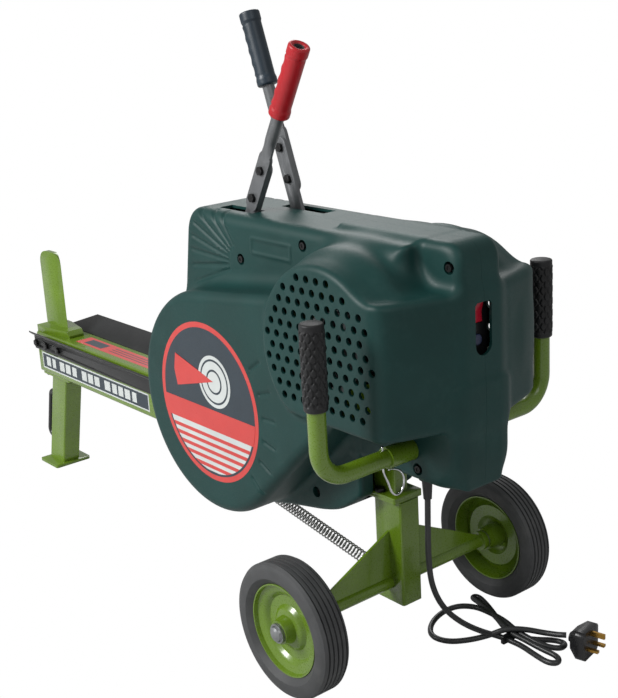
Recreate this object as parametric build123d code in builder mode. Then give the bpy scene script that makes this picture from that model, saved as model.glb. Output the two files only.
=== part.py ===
from build123d import *
import os
from math import asin, atan2, cos, degrees, hypot, pi, radians, sin, tan

os.makedirs("parts", exist_ok=True)

# Electric flywheel log splitter. Millimetres, +X forward along the beam, +Y left, +Z up.
# The origin is under the middle of the machine, on the ground.
# Stations along X are given as distances ahead of the wheel axle.
AXLE_X = -485.1
CLEARANCE = 0.3
RUNNING_FIT = 0.05

# Wheels and axle
WHEEL_RADIUS = 105.0
TYRE_WIDTH = 50.0
RIM_RADIUS = 72.0
HALF_TRACK = 217.0
AXLE_RADIUS = 10.0
AXLE_HALF_LENGTH = 250.0

# Frame
BEAM_WIDTH = 70.0
BEAM_BOTTOM = 221.0
BEAM_TOP = 311.0
BEAM_WALL = 4.0
BEAM_REAR = 100.0
BEAM_FRONT = 1100.0
LEG_DEPTH = 60.0
LEG_WIDTH = 40.0
LEG_TOP_STATION = 1048.0
LEG_FOOT_STATION = 1106.0
FOOT_PLATE = (76.0, 84.0, 6.0)
FOOT_STATION = 1104.0
LEG_BOLT_STATIONS = (1091.0, 1002.0)
LEG_BOLT_Y = 18.0
LEG_FLANGE = (984.0, 1100.0, 60.0, 6.0)
FLANGE_THICKNESS = 5.0
POST_BOTTOM = 73.0
POST_TOP = 246.5
POST_FLANGE_STATION = 8.5
POST_FLANGE = (73.0, 58.0)
STUB_STATION = 12.0
STUB_SIZE = (50.0, 26.0)
STUB_TOP = 325.0
FLANGE_BOLT_Y = 22.0
PLATE_INNER_Y = 35.0
PLATE_OUTER_Y = 41.0

# Wedge and log wings
WEDGE_REAR = 1020.0
WEDGE_TOP = 486.0
WEDGE_THICKNESS = 12.0
WEDGE_BASE_TOP = 325.0
WING_REAR = 520.0
WING_FRONT = 1095.0
WING_SHEET = 3.0
WING_BOLT_STATIONS = (1085.0, 1040.0, 990.0)
WING_BOLT_Z = 290.0

# Drive
SHAFT_STATION = 297.0
SHAFT_Z = 362.0
SHAFT_RADIUS = 12.5
FLYWHEEL_RADIUS = 150.0
MOTOR_STATION = -20.0
MOTOR_Z = 512.0
MOTOR_RADIUS = 58.0
PULLEY_RADIUS = 28.0
GEAR_MODULE = 4.0
PINION_TEETH = 11
RACK_TIP_Z = 388.6
RACK_HALF_WIDTH = 11.0
RACK_REAR = -160.0
RAM_FACE = 518.0
SPRING_LOW = (37.5, 102.5)
SPRING_HIGH = (520.0, 184.0)
ROLLER_PIVOT = (338.0, 452.0)
ROLLER_CENTRE = (262.0, 442.0)
ROLLER_RADIUS = 16.0

# Levers: both arms measure the same from the pivot
LEVER_LENGTH = 377.0
GRIP_START = 256.0
ENGAGE_PIVOT = (319.0, 600.0)
ENGAGE_LEAN = -29.9
SAFETY_PIVOT = (224.6, 613.4)
SAFETY_LEAN = 18.8
LEVER_Y = 33.0

# Housing
WALL = 4.0
COVER_RADIUS = 187.0
COVER_HALF = 140.0
COWL_RADIUS = 130.0
COWL_HALF = 157.0
BELT_COVER_RADIUS = 78.0
BODY_HALF = 75.0
CORE_HALF = 57.0
BODY_TOP = 668.0
REAR_FACE = -187.0
VENT_COLUMN = 21.46
VENT_ROW = 18.25
VENT_RADIUS = 5.2
SWITCH_Y = 1.5
SWITCH_Z = 551.0
SCREWS = ((262.0, 597.0, BODY_HALF), (103.0, 640.0, BODY_HALF), (-168.0, 640.0, 43.0),
          (-110.0, 338.0, CORE_HALF), (126.0, 232.0, CORE_HALF - 7))

# Transport handles
HANDLE_STATION = -97.0
HANDLE_Z = 366.0
HANDLE_REACH = 226.0
HANDLE_TOP = 592.0
HANDLE_RADIUS = 13.0
SLEEVE_RADIUS = 16.0
SLEEVE_END = 105.0

# Mains cord: its free stretch from the gland to the hank, as (station, y, z)
CORD_RADIUS = 4.5
CORD_EXIT = (-105.0, 34.0)
CORE_BOTTOM = 318.0
GLAND_BOTTOM = 284.0
CORD_ROUTE = ((-105.0, 34.0, 284.0), (-103.5, 34.0, 240.0), (-101.5, 33.0, 190.0), (-99.0, 26.0, 138.0),
              (-97.5, 2.0, 90.0), (-98.0, -36.0, 50.0), (-102.0, -76.0, 20.0), (-114.0, -100.0, 7.5))
TIE = (-130.0, -110.0)
PLUG_CENTRE = (-234.0, -161.0)
PLUG_HEADING = 193.0


def st(station):
    """X of a point given as a distance ahead of the wheel axle."""
    return AXLE_X + station


def side_plane(y):
    """Vertical plane through y, drawn in X and Z; a negative extrusion runs towards +Y."""
    return Plane.XZ.offset(-y)


def write(builder, label):
    """Labels a finished piece and writes it to its own file."""
    builder.part.label = label
    export_step(builder.part, f"parts/{label}.step")


def slab(points, y_start, y_end):
    """A plate with the given outline of (station, z) points, between two Y planes."""
    with BuildPart() as plate:
        with BuildSketch(side_plane(y_start)):
            with BuildLine():
                Polyline([(st(x), z) for x, z in points], close=True)
            make_face()
        extrude(amount=-(y_end - y_start))
    return plate.part


def mirrored(builder):
    """The same piece on the other side of the machine."""
    with BuildPart() as other:
        mirror(builder.part, about=Plane.XZ)
    return other


def cross_cylinder(station, z, radius, y_start, y_end, mode=Mode.ADD):
    """A round bar, or a bore, that lies along Y inside the current part."""
    with Locations(Location((st(station), (y_start + y_end) / 2, z), (90, 0, 0))):
        Cylinder(radius, abs(y_end - y_start), mode=mode)


def cross_turning(station, z, profile):
    """A turned piece about an axis along Y, from its (y, radius) outline."""
    axis_plane = Plane(origin=(st(station), 0, z), x_dir=(0, 1, 0), z_dir=(-1, 0, 0))
    with BuildPart() as turned:
        with BuildSketch(axis_plane):
            with BuildLine():
                Polyline(profile, close=True)
            make_face()
        revolve(axis=Axis((st(station), 0, z), (0, 1, 0)))
    return turned.part


# ---------------------------------------------------------------- frame

def build_beam():
    """Rectangular tube that carries the ram and the wedge."""
    middle_z = (BEAM_TOP + BEAM_BOTTOM) / 2
    height = BEAM_TOP - BEAM_BOTTOM
    with BuildPart() as main_beam:
        with BuildSketch(Plane.YZ.offset(st(BEAM_REAR))):
            with Locations((0, middle_z)):
                RectangleRounded(BEAM_WIDTH, height, 5)
                RectangleRounded(BEAM_WIDTH - 2 * BEAM_WALL, height - 2 * BEAM_WALL, 2, mode=Mode.SUBTRACT)
        extrude(amount=BEAM_FRONT - BEAM_REAR)
        for station in WING_BOLT_STATIONS:
            cross_cylinder(station, WING_BOLT_Z, 4 + CLEARANCE, -BEAM_WIDTH, BEAM_WIDTH, Mode.SUBTRACT)
        with BuildSketch(Plane.XY.offset(BEAM_BOTTOM - 1)):
            with Locations(*[(st(x), y) for x in LEG_BOLT_STATIONS for y in (-LEG_BOLT_Y, LEG_BOLT_Y)]):
                Circle(4 + CLEARANCE)
        extrude(amount=BEAM_WALL + 2, mode=Mode.SUBTRACT)
    write(main_beam, "main_beam")


def build_wedge():
    """Splitting blade with a bevelled edge and round top corners, welded to its tapered base."""
    half = WEDGE_THICKNESS / 2
    bevel = 24
    with BuildPart() as wedge_blade:
        with BuildSketch(Plane.XY.offset(WEDGE_BASE_TOP)):
            with BuildLine():
                Polyline((st(WEDGE_REAR), 0), (st(WEDGE_REAR + bevel), half), (st(BEAM_FRONT), half),
                         (st(BEAM_FRONT), -half), (st(WEDGE_REAR + bevel), -half), close=True)
            make_face()
        extrude(amount=WEDGE_TOP - WEDGE_BASE_TOP)
        with BuildSketch(side_plane(-half)):
            with Locations(((st(WEDGE_REAR) + st(BEAM_FRONT)) / 2, WEDGE_TOP - 150)):
                RectangleRounded(BEAM_FRONT - WEDGE_REAR, 300, 26)
        extrude(amount=-WEDGE_THICKNESS, mode=Mode.INTERSECT)
    with BuildPart() as splitting_wedge:
        with BuildSketch(Plane.XY.offset(BEAM_TOP)):
            with BuildLine():
                Polyline((st(BEAM_FRONT), 31), (st(1060), 31), (st(985), 17), (st(985), -17),
                         (st(1060), -31), (st(BEAM_FRONT), -31), close=True)
            make_face()
        extrude(amount=WEDGE_BASE_TOP - BEAM_TOP)
        chamfer(splitting_wedge.faces().sort_by(Axis.Z)[-1].edges().sort_by(Axis.X)[0], 9)
        add(wedge_blade.part)
    write(splitting_wedge, "splitting_wedge")


def leg_outline(half_depth):
    """Side view of the leaning leg tube, between the foot plate and the flange."""
    low = FOOT_PLATE[2]
    high = BEAM_BOTTOM - LEG_FLANGE[3]
    return [(LEG_FOOT_STATION - half_depth, low), (LEG_FOOT_STATION + half_depth, low),
            (LEG_TOP_STATION + half_depth, high), (LEG_TOP_STATION - half_depth, high)]


def build_front_leg():
    """Leaning leg tube, welded between a foot plate and a bolted top flange."""
    flange_rear, flange_front, flange_width, flange_thick = LEG_FLANGE
    tube_wall = 3.5
    with BuildPart() as front_leg:
        add(slab(leg_outline(LEG_DEPTH / 2 + 1), -LEG_WIDTH / 2, LEG_WIDTH / 2))
        fillet(front_leg.edges().filter_by(GeomType.LINE).filter_by(
            lambda e: abs(e.tangent_at(0).Z) > 0.8), 4)
        add(slab(leg_outline(LEG_DEPTH / 2 - tube_wall), -LEG_WIDTH / 2 + tube_wall,
                 LEG_WIDTH / 2 - tube_wall), mode=Mode.SUBTRACT)
        with BuildSketch(Plane.XY):
            with Locations((st(FOOT_STATION), 0)):
                RectangleRounded(FOOT_PLATE[0], FOOT_PLATE[1], 5)
        extrude(amount=FOOT_PLATE[2])
        with BuildSketch(Plane.XY.offset(BEAM_BOTTOM - flange_thick)):
            with Locations((st((flange_rear + flange_front) / 2), 0)):
                RectangleRounded(flange_front - flange_rear, flange_width, 5)
            with Locations(*[(st(x), y) for x in LEG_BOLT_STATIONS for y in (-LEG_BOLT_Y, LEG_BOLT_Y)]):
                Circle(4 + CLEARANCE, mode=Mode.SUBTRACT)
        extrude(amount=flange_thick)
    write(front_leg, "front_leg")


def build_carry_handle():
    """Black D-shaped handle on the front face of the leg."""
    lean = atan2(LEG_FOOT_STATION - LEG_TOP_STATION, BEAM_BOTTOM - LEG_FLANGE[3] - FOOT_PLATE[2])
    outward = Vector(cos(lean), 0, sin(lean))
    reach = 30
    front_face = LEG_DEPTH / 2 + 1
    ends = []
    for z in (48.0, 156.0):
        station = LEG_FOOT_STATION - tan(lean) * (z - FOOT_PLATE[2]) + front_face
        ends.append(Vector(st(station), 0, z))
    with BuildPart() as carry_handle:
        with BuildLine():
            FilletPolyline(ends[0], ends[0] + outward * reach, ends[1] + outward * reach, ends[1], radius=13)
        with BuildSketch(Plane(origin=ends[0], x_dir=(0, 1, 0), z_dir=outward)):
            RectangleRounded(18, 12, 5)
        sweep()
        for end in ends:
            with BuildSketch(Plane(origin=end, x_dir=(0, 1, 0), z_dir=outward)):
                RectangleRounded(26, 24, 5)
            extrude(amount=4)
    write(carry_handle, "carry_handle")


def build_log_wings():
    """Bent sheet wings that stop a log rolling off the beam, one on each side."""
    flange_y = 41.0
    outer_y = 83.0
    flange_low = 276.0
    bend_z = 305.0
    tip_z = 331.0
    rise = (tip_z - bend_z) / (outer_y - flange_y - WING_SHEET)
    thick = WING_SHEET * hypot(1, rise)
    with BuildPart() as log_wing_left:
        with BuildSketch(Plane.YZ.offset(st(WING_REAR))):
            with BuildLine():
                Polyline((flange_y, flange_low), (flange_y + WING_SHEET, flange_low),
                         (flange_y + WING_SHEET, bend_z), (outer_y, tip_z), (outer_y, tip_z + thick),
                         (flange_y, bend_z + thick - rise * WING_SHEET), close=True)
            make_face()
        extrude(amount=WING_FRONT - WING_REAR)
        with BuildSketch(Plane.XY.offset(bend_z - 10)):
            with BuildLine():
                Polyline((st(WING_FRONT + 1), flange_y + WING_SHEET + 4), (st(1034), outer_y + 1),
                         (st(WING_FRONT + 1), outer_y + 1), close=True)
            make_face()
        extrude(amount=60, mode=Mode.SUBTRACT)
        for station in WING_BOLT_STATIONS:
            cross_cylinder(station, WING_BOLT_Z, 4 + CLEARANCE, flange_y - 1, flange_y + 6, Mode.SUBTRACT)
    write(log_wing_left, "log_wing_left")
    write(mirrored(log_wing_left), "log_wing_right")


def build_rear_post():
    """Lower rear post with its top flange and the lug that holds the return spring."""
    with BuildPart() as rear_post:
        with BuildSketch(Plane.XY.offset(POST_BOTTOM)):
            with Locations((st(0), 0)):
                RectangleRounded(LEG_DEPTH, LEG_WIDTH, 4)
                RectangleRounded(LEG_DEPTH - 6, LEG_WIDTH - 6, 2, mode=Mode.SUBTRACT)
        extrude(amount=POST_TOP - POST_BOTTOM)
        cross_cylinder(0, WHEEL_RADIUS, AXLE_RADIUS, -30, 30, Mode.SUBTRACT)
        with BuildSketch(Plane.XY.offset(POST_TOP)):
            flange_outline()
        extrude(amount=FLANGE_THICKNESS)
        with BuildSketch(side_plane(-3)):
            with Locations((st(LEG_DEPTH / 2 + 5), SPRING_LOW[1])):
                Rectangle(14, 18)
            with Locations((st(SPRING_LOW[0]), SPRING_LOW[1])):
                Circle(3, mode=Mode.SUBTRACT)
        extrude(amount=-6)
    write(rear_post, "rear_post")


def flange_outline():
    """Outline of the two bolted post flanges, with their bolt holes."""
    with Locations((st(POST_FLANGE_STATION), 0)):
        RectangleRounded(POST_FLANGE[0], POST_FLANGE[1], 4)
    with Locations((st(STUB_STATION), -FLANGE_BOLT_Y), (st(STUB_STATION), FLANGE_BOLT_Y)):
        Circle(5 + CLEARANCE, mode=Mode.SUBTRACT)


def build_post_stub():
    """Upper part of the rear post, from the bolted flange to the plate under the drive frame."""
    with BuildPart() as rear_post_stub:
        with BuildSketch(Plane.XY.offset(POST_TOP + FLANGE_THICKNESS)):
            flange_outline()
        extrude(amount=FLANGE_THICKNESS)
        with BuildSketch(Plane.XY.offset(POST_TOP + FLANGE_THICKNESS)):
            with Locations((st(STUB_STATION), 0)):
                RectangleRounded(STUB_SIZE[0], STUB_SIZE[1], 3)
        extrude(amount=STUB_TOP - POST_TOP - FLANGE_THICKNESS)
        with BuildSketch(Plane.XY.offset(STUB_TOP)):
            with Locations((st(25), 0)):
                Rectangle(130, 2 * PLATE_INNER_Y)
        extrude(amount=6)
    write(rear_post_stub, "rear_post_stub")


def build_rear_axle():
    """Axle bar with the two triangular gussets and the wheel collars welded on."""
    post_face = LEG_WIDTH / 2
    gusset_top = 193.0
    gusset_end = 178.0
    gusset_foot = WHEEL_RADIUS + AXLE_RADIUS - 2
    with BuildPart() as rear_axle:
        cross_cylinder(0, WHEEL_RADIUS, AXLE_RADIUS, -AXLE_HALF_LENGTH, AXLE_HALF_LENGTH)
        with BuildSketch(Plane.YZ.offset(st(-2))):
            for side in (1, -1):
                with BuildLine():
                    Polyline((side * post_face, gusset_top), (side * post_face, gusset_foot),
                             (side * gusset_end, gusset_foot), (side * gusset_end, gusset_foot + 5),
                             close=True)
                make_face()
        extrude(amount=4)
        for side in (1, -1):
            cross_cylinder(0, WHEEL_RADIUS, 16, side * 180, side * 189.5)
    write(rear_axle, "rear_axle")


def hex_bolt(plane, length, radius, grip):
    """A bolt drawn from under its head: head behind the plane, shank and nut ahead of it."""
    with BuildPart(mode=Mode.PRIVATE) as bolt:
        with BuildSketch(plane):
            Circle(radius)
        extrude(amount=length)
        with BuildSketch(plane):
            RegularPolygon(radius * 1.85, 6)
        extrude(amount=-radius * 1.25)
        with BuildSketch(plane.offset(grip)):
            RegularPolygon(radius * 1.85, 6)
        extrude(amount=radius * 1.5)
    return bolt.part


def build_frame_bolts():
    """Bolts of the frame: leg flange, post flange and log wings, with the wing spacers."""
    solids = []
    leg_low = BEAM_BOTTOM - LEG_FLANGE[3]
    for station in LEG_BOLT_STATIONS:
        for y in (-LEG_BOLT_Y, LEG_BOLT_Y):
            plane = Plane(origin=(st(station), y, leg_low), z_dir=(0, 0, 1))
            solids.append(hex_bolt(plane, 19, 4, LEG_FLANGE[3] + BEAM_WALL))
    flange_top = POST_TOP + 2 * FLANGE_THICKNESS
    for y in (-FLANGE_BOLT_Y, FLANGE_BOLT_Y):
        plane = Plane(origin=(st(STUB_STATION), y, flange_top), z_dir=(0, 0, -1))
        with BuildPart() as short_bolt:
            with BuildSketch(plane):
                Circle(5)
            extrude(amount=2 * FLANGE_THICKNESS - 0.5)
            with BuildSketch(plane):
                RegularPolygon(8, 6)
            extrude(amount=-6)
        solids.append(short_bolt.part)
    for side in (1, -1):
        for station in WING_BOLT_STATIONS:
            outer = Plane(origin=(st(station), side * 44, WING_BOLT_Z), z_dir=(0, -side, 0))
            solids.append(hex_bolt(outer, 20, 4, 44 - BEAM_WIDTH / 2 + BEAM_WALL))
            with BuildPart() as spacer:
                with BuildSketch(outer.offset(WING_SHEET)):
                    Circle(9)
                    Circle(4, mode=Mode.SUBTRACT)
                extrude(amount=6)
            solids.append(spacer.part)
    with BuildPart() as frame_bolts:
        for solid in solids:
            add(solid)
    write(frame_bolts, "frame_bolts")


def build_frame_plates():
    """Two steel plates on the beam that hold the shaft, the motor, the levers and the handles."""
    outline = [(-125, 325), (90, 325), (100, 225), (398, 225), (398, 425), (352, 470), (352, 622),
               (192, 630), (170, 470), (62, 470), (52, 582), (-88, 582), (-88, 450), (-125, 410)]
    with BuildPart() as frame_plates:
        add(slab(outline, PLATE_INNER_Y, PLATE_OUTER_Y))
        cross_cylinder(SHAFT_STATION, SHAFT_Z, 26, 30, 50, Mode.SUBTRACT)
        cross_cylinder(MOTOR_STATION, MOTOR_Z, 12, 30, 50, Mode.SUBTRACT)
        cross_cylinder(HANDLE_STATION, HANDLE_Z, SLEEVE_RADIUS, 30, 50, Mode.SUBTRACT)
        cross_cylinder(*ROLLER_PIVOT, 7 + RUNNING_FIT, 30, 50, Mode.SUBTRACT)
        cross_cylinder(*ENGAGE_PIVOT, 6, 30, 50, Mode.SUBTRACT)
        cross_cylinder(*SAFETY_PIVOT, 6, 30, 50, Mode.SUBTRACT)
        mirror(about=Plane.XZ)
    write(frame_plates, "frame_plates")


# ---------------------------------------------------------------- wheels

def build_wheels():
    """Solid ribbed tyres on pressed steel rims with plain bearings, and the axle caps."""
    half = TYRE_WIDTH / 2
    low = RIM_RADIUS + RUNNING_FIT
    crown = WHEEL_RADIUS
    groove = 2.5
    tread = []
    for middle in (-16, -8, 0, 8, 16):
        tread += [(middle - 1.5, crown), (middle - 1, crown - groove),
                  (middle + 1, crown - groove), (middle + 1.5, crown)]
    tyre_profile = [(-16, low), (-20, 76), (-half, 82), (-half, 95), (-half + 3, 102), *tread,
                    (half - 3, 102), (half, 95), (half, 82), (20, 76), (16, low)]
    rim_profile = [(-18, 70), (-18, 72), (18, 72), (18, 70), (12, 68), (8, 56), (2, 50), (2, 36), (8, 30),
                   (10, 22), (25, 18), (25, 14), (-25, 14), (-25, 18), (6, 21), (3, 28), (-2, 34), (-2, 52),
                   (4, 58), (8, 68), (-12, 69)]
    bearing_profile = [(-27, AXLE_RADIUS + RUNNING_FIT), (-27, 15), (-25, 15), (-25, 14), (25, 14), (25, 15),
                       (27, 15), (27, AXLE_RADIUS + RUNNING_FIT)]
    cap_profile = [(27.5, AXLE_RADIUS), (27.5, 15), (29.5, 15), (29.5, 12.5), (33, 11), (36, 6), (36, 0),
                   (33, 0), (33, AXLE_RADIUS)]
    pieces = (("wheel_tyre", tyre_profile), ("wheel_rim", rim_profile), ("wheel_bearing", bearing_profile))
    for label, profile in pieces:
        shifted = [(HALF_TRACK + y, radius) for y, radius in profile]
        with BuildPart() as left:
            add(cross_turning(0, WHEEL_RADIUS, shifted))
        write(left, f"{label}_left")
        write(mirrored(left), f"{label}_right")
    with BuildPart() as axle_caps:
        add(cross_turning(0, WHEEL_RADIUS, [(HALF_TRACK + y, radius) for y, radius in cap_profile]))
        mirror(about=Plane.XZ)
    write(axle_caps, "axle_caps")


# ---------------------------------------------------------------- drive

def build_pinion_shaft():
    """Flywheel shaft with the pinion cut on its middle."""
    pitch = GEAR_MODULE * PINION_TEETH / 2
    root = pitch - 1.2 * GEAR_MODULE
    tip = pitch + GEAR_MODULE
    tooth_angle = 360 / PINION_TEETH
    with BuildPart() as pinion_shaft:
        cross_cylinder(SHAFT_STATION, SHAFT_Z, SHAFT_RADIUS, -130, 130)
        gear_plane = Plane(origin=(st(SHAFT_STATION), -13, SHAFT_Z), x_dir=(1, 0, 0), z_dir=(0, 1, 0))
        with BuildSketch(gear_plane):
            Circle(root + 0.5)
            with PolarLocations(0, PINION_TEETH, start_angle=tooth_angle / 2):
                with BuildLine():
                    Polyline((root, -4.3), (pitch, -3.0), (tip, -1.4), (tip, 1.4), (pitch, 3.0), (root, 4.3),
                             close=True)
                make_face()
        extrude(amount=26)
    write(pinion_shaft, "pinion_shaft")


def build_flywheels():
    """Two cast flywheels; the right one also carries the belt."""
    profile = [(124, SHAFT_RADIUS), (124, 30), (114, 34), (114, 112), (120, 116), (120, FLYWHEEL_RADIUS),
               (96, FLYWHEEL_RADIUS), (96, 116), (102, 112), (102, 34), (88, 30), (88, SHAFT_RADIUS)]
    with BuildPart() as flywheel_left:
        add(cross_turning(SHAFT_STATION, SHAFT_Z, profile))
        with BuildSketch(side_plane(80)):
            with Locations((st(SHAFT_STATION), SHAFT_Z)):
                with PolarLocations(73, 6):
                    Circle(16)
        extrude(amount=-60, mode=Mode.SUBTRACT)
    write(flywheel_left, "flywheel_left")
    write(mirrored(flywheel_left), "flywheel_right")


def build_bearings():
    """Ball bearings of the flywheel shaft, one in each plate."""
    bore = SHAFT_RADIUS + RUNNING_FIT
    profile = [(31, bore), (31, 16), (32, 16), (32, 22), (31, 22), (31, 26), (46, 26), (46, 22), (45, 22),
               (45, 16), (46, 16), (46, bore)]
    with BuildPart() as shaft_bearings:
        add(cross_turning(SHAFT_STATION, SHAFT_Z, profile))
        mirror(about=Plane.XZ)
    write(shaft_bearings, "shaft_bearings")


def build_motor():
    """Motor casing on the left plate, its rotor and shaft, cooling fan and belt pulley."""
    casing_start = PLATE_OUTER_Y
    casing_end = 130.0
    shaft = 7.0
    with BuildPart() as motor_casing:
        cross_cylinder(MOTOR_STATION, MOTOR_Z, MOTOR_RADIUS, casing_start, casing_end)
        with BuildSketch(side_plane(casing_start + 12)):
            with Locations((st(MOTOR_STATION), MOTOR_Z)):
                with PolarLocations(MOTOR_RADIUS, 28):
                    Rectangle(7, 5)
        extrude(amount=-(casing_end - casing_start - 24), mode=Mode.SUBTRACT)
        cross_cylinder(MOTOR_STATION, MOTOR_Z, 31, casing_start + 8, casing_end - 8, Mode.SUBTRACT)
        cross_cylinder(MOTOR_STATION, MOTOR_Z, shaft + RUNNING_FIT, casing_start, casing_end, Mode.SUBTRACT)
    write(motor_casing, "motor_casing")
    with BuildPart() as motor_rotor:
        cross_cylinder(MOTOR_STATION, MOTOR_Z, shaft, -122, 146)
        cross_cylinder(MOTOR_STATION, MOTOR_Z, 30, casing_start + 12, casing_end - 12)
    write(motor_rotor, "motor_rotor")
    with BuildPart() as motor_fan:
        cross_cylinder(MOTOR_STATION, MOTOR_Z, 14, 132, 146)
        cross_cylinder(MOTOR_STATION, MOTOR_Z, 50, 132, 134)
        with BuildSketch(side_plane(132)):
            with Locations((st(MOTOR_STATION), MOTOR_Z)):
                with PolarLocations(31, 8):
                    Rectangle(38, 2.5)
        extrude(amount=-12)
        cross_cylinder(MOTOR_STATION, MOTOR_Z, shaft, 130, 150, Mode.SUBTRACT)
    write(motor_fan, "motor_fan")
    pulley_profile = [(-119, shaft), (-119, PULLEY_RADIUS + 3), (-117, PULLEY_RADIUS + 3),
                      (-117, PULLEY_RADIUS), (-99, PULLEY_RADIUS), (-99, PULLEY_RADIUS + 3),
                      (-97, PULLEY_RADIUS + 3), (-97, shaft)]
    with BuildPart() as motor_pulley:
        add(cross_turning(MOTOR_STATION, MOTOR_Z, pulley_profile))
    write(motor_pulley, "motor_pulley")


def belt_hull(big, small):
    """Outline round the flywheel circle and the motor circle, with their two common tangents."""
    dx = st(MOTOR_STATION) - st(SHAFT_STATION)
    dz = MOTOR_Z - SHAFT_Z
    heading = degrees(atan2(dz, dx))
    spread = degrees(asin((big - small) / hypot(dx, dz)))
    upper = radians(heading - 90 + spread)
    lower = radians(heading + 90 - spread)
    big_centre = Vector(st(SHAFT_STATION), SHAFT_Z)
    small_centre = Vector(st(MOTOR_STATION), MOTOR_Z)
    corners = []
    for centre, radius, angle in ((big_centre, big, lower), (big_centre, big, upper),
                                  (small_centre, small, upper), (small_centre, small, lower)):
        corners.append(centre + Vector(cos(angle), sin(angle)) * radius)
    with BuildSketch(Plane.XY, mode=Mode.PRIVATE) as hull:
        with Locations((big_centre.X, big_centre.Y)):
            Circle(big)
        with Locations((small_centre.X, small_centre.Y)):
            Circle(small)
        with BuildLine():
            Polyline([(c.X, c.Y) for c in corners], close=True)
        make_face()
    return hull.sketch


def build_belt():
    """Flat ribbed belt from the motor pulley to the right flywheel."""
    gap = CLEARANCE
    thick = 4.0
    with BuildPart() as drive_belt:
        with BuildSketch(side_plane(-116)):
            add(belt_hull(FLYWHEEL_RADIUS + gap + thick, PULLEY_RADIUS + gap + thick))
            add(belt_hull(FLYWHEEL_RADIUS + gap, PULLEY_RADIUS + gap), mode=Mode.SUBTRACT)
        extrude(amount=-16)
    write(drive_belt, "drive_belt")


def build_rack():
    """Toothed bar that the pinion drives; it rests just clear of the pinion."""
    pitch = pi * GEAR_MODULE
    tooth_count = 52
    top = RACK_TIP_Z + 27
    root = RACK_TIP_Z + 2.2 * GEAR_MODULE
    start = RACK_REAR + 6
    outline = [(RACK_REAR, top), (RACK_REAR, root)]
    for tooth in range(tooth_count):
        left = start + tooth * pitch
        outline += [(left, root), (left + 3, RACK_TIP_Z), (left + 6, RACK_TIP_Z), (left + 9, root)]
    outline += [(RAM_FACE - 18, root), (RAM_FACE - 18, top)]
    with BuildPart() as rack:
        add(slab(outline, -RACK_HALF_WIDTH, RACK_HALF_WIDTH))
    write(rack, "rack")


def build_push_plate():
    """Ram head that straddles the beam, with the tail that the return spring pulls."""
    cheek_inner = BEAM_WIDTH / 2 + 0.5
    cheek_outer = cheek_inner + 4
    rear = RAM_FACE - 18
    with BuildPart() as push_plate:
        with BuildSketch(Plane.YZ.offset(st(rear))):
            with Locations((0, 378)):
                RectangleRounded(80, 126, 8)
        extrude(amount=RAM_FACE - rear)
        for side in (1, -1):
            low, high = sorted((side * cheek_inner, side * cheek_outer))
            add(slab([(rear, 380), (rear - 10, 340), (rear - 10, BEAM_BOTTOM - 4),
                      (rear + 40, BEAM_BOTTOM - 4), (rear + 40, 330), (RAM_FACE, 360)], low, high))
        add(slab([(rear - 10, BEAM_BOTTOM - 10), (rear + 40, BEAM_BOTTOM - 10), (rear + 40, BEAM_BOTTOM - 1),
                  (rear - 10, BEAM_BOTTOM - 1)], -cheek_outer, cheek_outer))
        add(slab([(SPRING_HIGH[0] - 8, SPRING_HIGH[1] - 9), (SPRING_HIGH[0] + 12, SPRING_HIGH[1] - 9),
                  (SPRING_HIGH[0] + 12, BEAM_BOTTOM - 8), (SPRING_HIGH[0] - 8, BEAM_BOTTOM - 8)], -3, 3))
        cross_cylinder(SPRING_HIGH[0], SPRING_HIGH[1], 3, -10, 10, Mode.SUBTRACT)
    write(push_plate, "push_plate")


def build_return_spring():
    """Envelope of the close-wound spring that pulls the ram back."""
    hook = 8.0
    low = Vector(st(SPRING_LOW[0]), 0, SPRING_LOW[1])
    high = Vector(st(SPRING_HIGH[0]), 0, SPRING_HIGH[1])
    along = (high - low).normalized()
    start = low + along * hook
    length = (high - low).length - 2 * hook - 6
    with BuildPart() as return_spring:
        with BuildSketch(Plane(origin=start, x_dir=(0, 1, 0), z_dir=along)):
            Circle(10.5)
            Circle(8.2, mode=Mode.SUBTRACT)
        extrude(amount=length)
    write(return_spring, "return_spring")


def build_pressure_roller():
    """Swinging fork and roller that press the rack into mesh."""
    with BuildPart() as roller_fork:
        for side in (1, -1):
            inner = side * 15
            outer = side * 21
            with BuildSketch(side_plane(min(inner, outer))):
                with Locations((st(ROLLER_PIVOT[0]), ROLLER_PIVOT[1])):
                    Circle(13)
                with BuildLine():
                    Polyline((st(ROLLER_PIVOT[0]), ROLLER_PIVOT[1] + 13),
                             (st(ROLLER_CENTRE[0]), ROLLER_CENTRE[1] + 10),
                             (st(ROLLER_CENTRE[0] - 10), ROLLER_CENTRE[1]),
                             (st(ROLLER_CENTRE[0]), ROLLER_CENTRE[1] - 10),
                             (st(ROLLER_PIVOT[0]), ROLLER_PIVOT[1] - 13), close=True)
                make_face()
            extrude(amount=-6)
        cross_cylinder(*ROLLER_PIVOT, 7, -PLATE_OUTER_Y, PLATE_OUTER_Y)
        cross_cylinder(ROLLER_CENTRE[0], ROLLER_CENTRE[1], 5, -21, 21)
    write(roller_fork, "roller_fork")
    with BuildPart() as pressure_roller:
        cross_cylinder(*ROLLER_CENTRE, ROLLER_RADIUS, -14, 14)
        cross_cylinder(*ROLLER_CENTRE, 5, -14, 14, Mode.SUBTRACT)
    write(pressure_roller, "pressure_roller")


# ---------------------------------------------------------------- levers

def lever_plane(pivot, lean, y):
    """Plane of one lever: local x runs up the lever, local y across it, z towards +Y."""
    up = Vector(sin(radians(lean)), 0, cos(radians(lean)))
    return Plane(origin=(st(pivot[0]), y, pivot[1]), x_dir=up, z_dir=(0, 1, 0))


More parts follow.
